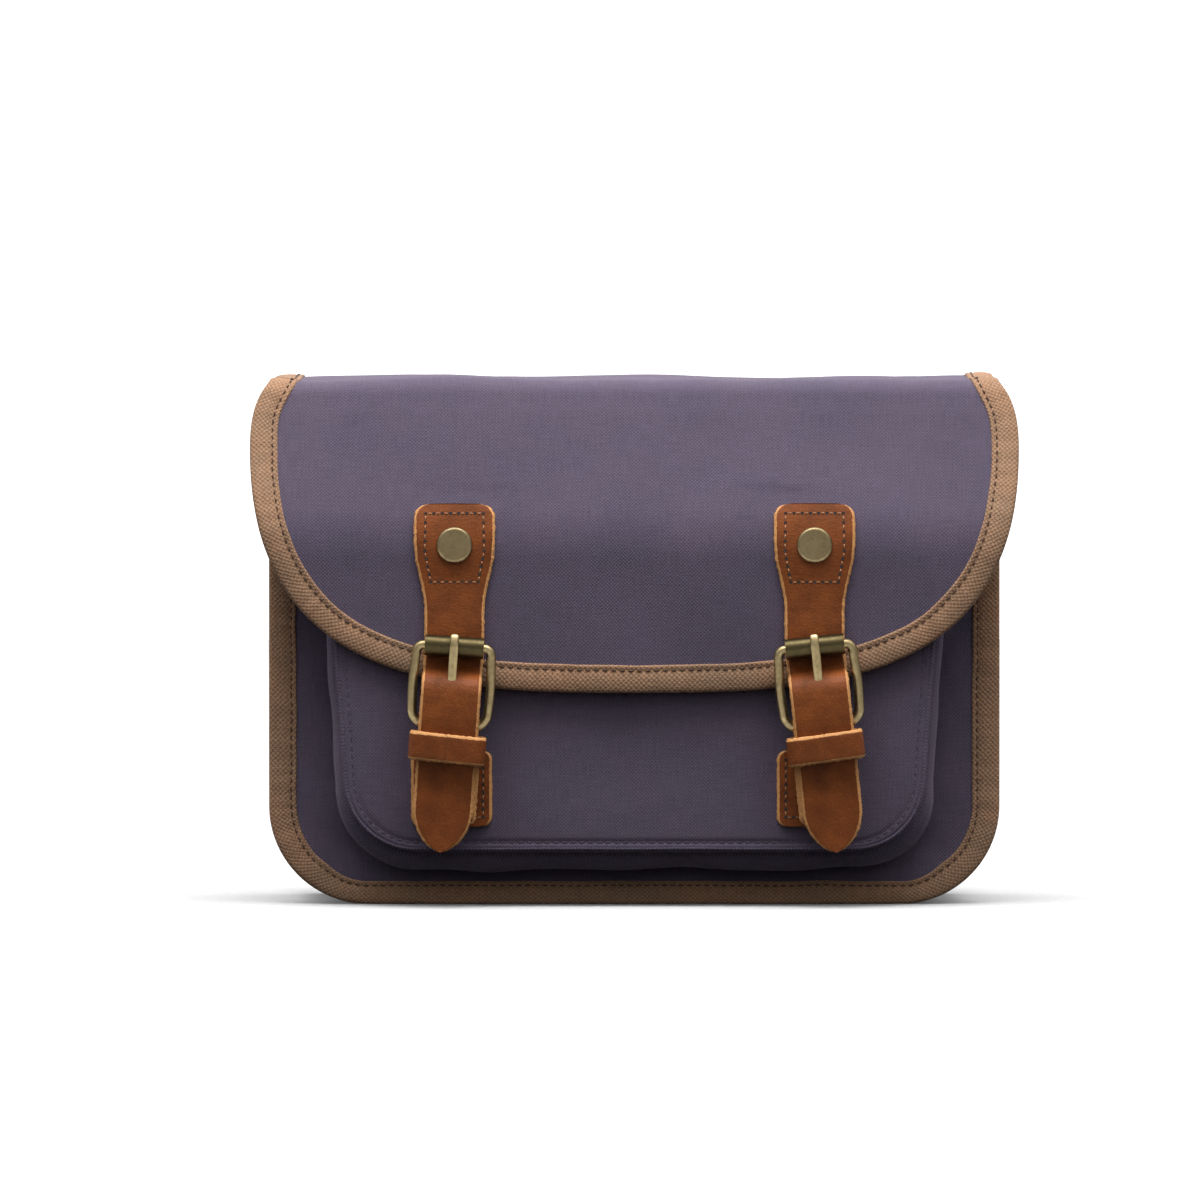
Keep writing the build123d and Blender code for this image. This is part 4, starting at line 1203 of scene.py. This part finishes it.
def make_tab(side, sign, tilt):
    """Two layers of leather folded round the heel bar, split in two ears for the prong."""
    roller_u, _ = roller_middle(side)
    thick = 1.8
    turn = 1.66 + thick / 2
    back = box_mm(f"buckle_tab_{side}")[2] + thick / 2
    front, end = back + thick + 0.1, -59.0
    pieces = []
    for ear in (-1, 1):
        track = [(back, end + 24), (back, HEEL - 4.5)]
        track += [(roller_u + turn * math.cos(a), HEEL + turn * math.sin(a))
                  for a in np.linspace(math.pi * 0.98, -math.pi * 0.42, 16)]
        track += [(front, HEEL - 6.5), (front, end + 24)]
        path = even_path(smooth_path(leaning(side, sign, [(ear * 6.1, u, v) for u, v in track])), 0.8)
        pieces.append(band("ear", path, tilt, 3.9, thick, hide))
    for layer, (low, aside) in enumerate(((end, -sign * 1.1), (end + 1.2, -sign * 0.6))):
        u = back + layer * (thick + 0.05)
        path = leaning(side, sign, [(aside * 0.4, u, low + 27), (aside, u, low + 18), (aside, u, low)])
        path = even_path(path, 0.5)
        along = lengths_along(path)
        half = STRAP_HALF - 2.5 * (1 - rounded(along[-1] - along, 2.5))
        pieces.append(band("layer", path, tilt, half, thick, hide))
    dress(joined(f"tab_leather_{side}", pieces), "leather", f"strap_{side}", f"buckle_tab_{side}")


def make_keeper(side, sign):
    """The keeper loops round strap and tab, a little askew."""
    lean = math.radians(STRAP_LEAN[side])
    _, _, back, front, _, _ = box_mm(f"keeper_{side}")
    loop, _ = ring_path(11.9, (front - back) / 2 - 1.0, 2.6, 90)
    slope = math.tan(math.radians(2.0) * sign)
    path = leaning(side, sign, [(x, (front + back) / 2 + u, KEEPER_DROP + slope * x) for x, u in loop])
    up_strap = (-sign * math.sin(lean), 0, math.cos(lean))
    keeper = band(f"keeper_loop_{side}", path, up_strap, 4.8, 1.9, hide, closed=True)
    dress(keeper, "leather", f"strap_{side}", f"keeper_{side}")


def make_prong(side, sign, tilt):
    """A flat-sided bar hooked round the heel bar, lying through the strap onto the roller."""
    roller_u, _ = roller_middle(side)
    hook = 2.36
    track = [(roller_u + hook * math.cos(a), HEEL + hook * math.sin(a))
             for a in np.linspace(math.pi * 1.9, math.pi * 0.35, 16)]
    track += [(roller_u + u, v) for u, v in ((3.1, HEEL + 9.0), (4.2, -8.0), (5.05, -0.2), (4.7, 2.4), (3.5, 4.3))]
    path = even_path(smooth_path(leaning(side, sign, [(0, u, v) for u, v in track])), 0.5)
    prong = tube(f"buckle_prong_{side}", path, tilt, 1.5, 1.05, brass)
    dress(prong, "brass", f"prong_{side}", f"prong_{side}")


def make_patch(side):
    """The leather patch on the pocket, sewn all round."""
    low_x, high_x, back, front, low, high = box_mm(f"closure_patch_{side}")
    corner = 3
    bend = np.linspace(0, 1, 7) * math.pi / 2
    z = np.concatenate([high - corner * (1 - np.cos(bend)), np.linspace(high - corner, low + corner, 20)[1:],
                        low + corner * (1 - np.sin(bend[1:]))])
    near = np.clip(corner - np.minimum(high - z, z - low), 0, corner)
    half = (high_x - low_x) / 2 - corner + np.sqrt(np.maximum(corner ** 2 - near ** 2, 0.02))
    middle_x = (low_x + high_x) / 2
    patch = band(f"snap_patch_{side}", spots(middle_x, (back + front) / 2, z), (1, 0, 0), half, front - back, hide,
                 crown=0.1)
    dress(patch, "leather", "bag", f"closure_patch_{side}")

    def on_patch(flat):
        return np.array([middle_x + flat[0], front + 0.06, flat[1]]), np.array([0.0, 1.0, 0.0])

    w, top, low = (high_x - low_x) / 2 - corner, high - corner, low + corner
    holes_and_stitches(f"patch_{side}", [(-w, top), (w, top), (w, low), (-w, low)], on_patch, "bag")


def make_strap(side, sign):
    lean = math.radians(STRAP_LEAN[side])
    tilt = (math.cos(lean), 0, sign * math.sin(lean))
    make_strap_leather(side, sign)
    make_tab(side, sign, tilt)
    make_keeper(side, sign)
    make_prong(side, sign, tilt)
    make_patch(side)


def tube(name, centre, across, half_wide, half_thick, material):
    """A bar of rounded section along a line, its ends domed."""
    side = np.tile(across, (len(centre), 1))
    up = unit(np.cross(side, tangents(centre)))
    along = lengths_along(centre)
    round_off = rounded(np.minimum(along, along[-1] - along), 1.0, 0.03)
    around = 16
    points, cloth = [], []
    for i, middle in enumerate(centre):
        for a in turns(around):
            c, s = math.cos(a), math.sin(a)
            square = (c ** 4 + s ** 4) ** -0.25 * round_off[i]
            points.append(middle + side[i] * c * square * half_wide + up[i] * s * square * half_thick)
            cloth.append((a, along[i]))
    faces = tube_faces(len(centre), around)
    points = np.array(points)
    a, b, c = (place(points[k]) for k in faces[0][:3])
    if np.cross(b - a, c - a) @ (a - place(centre[0])) < 0:
        faces = turned_over(faces)
    return make_mesh(name, points, faces, np.array(cloth), material)


def make_side_tabs():
    """Leather tabs that hold the side rings, folded round their bars."""
    thick, bar_radius = 1.6, 1.56
    turn = bar_radius + thick / 2
    for side, sign in SIDES:
        low_x, high_x, back, front, _, high = box_mm(f"side_tab_{side}")
        ring = box_mm(f"d_ring_{side}")
        bar_x, bar_z = (ring[0] + ring[1]) / 2, ring[5] - 1.5
        wall = low_x if sign > 0 else high_x
        inner, outer = wall + sign * thick / 2, wall + sign * (thick * 1.5 + 0.05)
        track = [(inner, high), (inner, bar_z + 8)]
        track += [(bar_x - sign * turn * math.cos(a), bar_z - turn * math.sin(a))
                  for a in np.linspace(0.0, math.pi * 1.25, 16)]
        track += [(outer, bar_z + 6.5), (outer, high)]
        path = even_path(smooth_path(np.array([(x, 0.0, z) for x, z in track])), 0.8)
        tab = band(f"ring_tab_{side}", path, (0, 1, 0), (front - back) / 2, thick, hide)
        dress(tab, "leather", "bag", f"side_tab_{side}")

        face = wall + sign * (2 * thick + 0.12)

        def on_tab(flat):
            return np.array([face, flat[0], flat[1]]), np.array([float(sign), 0.0, 0.0])

        top, low = high - 2.5, high - 17
        holes_and_stitches(f"ring_tab_{side}", [(-7.5, top), (7.5, top), (7.5, low), (-7.5, low)], on_tab, "bag")


def finish_hardware():
    """Metal and board pieces keep their shape and get their materials."""
    board = fibrous("fibre_board", (0.2, 0.19, 0.18), 0.9, 0.8, 4.0, (0.13, 0.12, 0.11), (0.26, 0.25, 0.23))
    looks = {"roller": shaded_roller_brass, "buckle_frame": brass, "rivet_cap": shaded_rivet_brass, "side_rivet": brass,
             "d_ring": brass, "snap_socket": steel, "snap_stud": steel, "rivet_post": steel,
             "base_board": board}
    for name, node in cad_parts.items():
        for start, material in looks.items():
            if name.startswith(start):
                node.data.materials.clear()
                node.data.materials.append(material)


# ---- floor, light and camera ----

def stage_sheet(name, corners, look):
    """A plain sheet of the stage that doesn't light the bag."""
    mesh = bpy.data.meshes.new(name)
    mesh.from_pydata(corners, [], [(0, 1, 2, 3)])
    sheet = bpy.data.objects.new(name, mesh)
    bpy.context.collection.objects.link(sheet)
    mesh.materials.append(look.material)
    sheet.visible_diffuse = False


def softbox(name, size, power, where, aim):
    light = bpy.data.lights.new(name, "AREA")
    light.shape = "RECTANGLE"
    light.size, light.size_y = size
    light.energy = power
    lamp = bpy.data.objects.new(name, light)
    bpy.context.collection.objects.link(lamp)
    lamp.location = where
    lamp.rotation_euler = (Vector(aim) - Vector(where)).to_track_quat("-Z", "Y").to_euler()


def make_world():
    """Light from all round: dark below, bright overhead."""
    world = bpy.data.worlds.new("studio")
    world.use_nodes = True
    nodes, links = world.node_tree.nodes, world.node_tree.links
    height = nodes.new("ShaderNodeSeparateXYZ")
    links.new(nodes.new("ShaderNodeTexCoord").outputs["Generated"], height.inputs[0])
    lift = nodes.new("ShaderNodeMapRange")
    lift.inputs["From Min"].default_value = -1.0
    links.new(height.outputs["Z"], lift.inputs["Value"])
    sky = nodes.new("ShaderNodeValToRGB")
    set_stops(sky, [(at, (value,) * 3) for at, value in WORLD_LIGHT])
    links.new(lift.outputs["Result"], sky.inputs[0])
    links.new(sky.outputs[0], nodes["Background"].inputs[0])
    nodes["Background"].inputs[1].default_value = 2.0
    bpy.context.scene.world = world


def make_stage():
    look = Look("white_floor", (0.93, 0.93, 0.93), 0.95)
    mottle = look.noise(look.place_coordinates(), 3.0, 4.0)
    look.feed("Base Color", look.ramp(mottle, ((0.3, (0.60,) * 3), (0.7, (0.68,) * 3))))
    look.set("Specular IOR Level", 0.1)
    stage_sheet("floor", [(-6, -6, 0), (6, -6, 0), (6, 6, 0), (-6, 6, 0)], look)

    look = Look("white_paper", (0.9, 0.9, 0.9), 0.95)
    look.set("Emission Color", (1, 1, 1, 1))
    look.set("Emission Strength", 1.0)
    stage_sheet("backdrop", [(-6, 3, 0), (6, 3, 0), (6, 3, 6), (-6, 3, 6)], look)

    make_world()
    softbox("overhead", (1.0, 0.6), 12.5, (0.0, -0.33, 1.15), (0, 0.0, 0.1))
    softbox("front_fill", (1.2, 0.4), 0.8, (0.2, -1.6, 0.5), (0, 0, 0.1))
    softbox("far_floor", (5.0, 1.6), 16, (0.0, 2.2, 1.2), (0.0, 2.2, 0.0))

    lens, distance, elevation = 360.0, 4.0, math.radians(1.5)
    camera_data = bpy.data.cameras.new("camera")
    camera_data.lens = lens
    camera = bpy.data.objects.new("camera", camera_data)
    bpy.context.collection.objects.link(camera)
    target = Vector((-0.0115, (MIDDLE_Y - FLAP_FRONT) * MM, 0.1027))
    camera.location = target + Vector((0, -distance * math.cos(elevation), distance * math.sin(elevation)))
    camera.rotation_euler = (target - camera.location).to_track_quat("-Z", "Y").to_euler()
    bpy.context.scene.camera = camera
    bpy.context.scene.view_settings.view_transform = "Standard"


make_stage()
make_flap()
make_body()
make_pocket()
make_inside()
for side, sign in SIDES:
    make_strap(side, sign)
make_side_tabs()
finish_hardware()
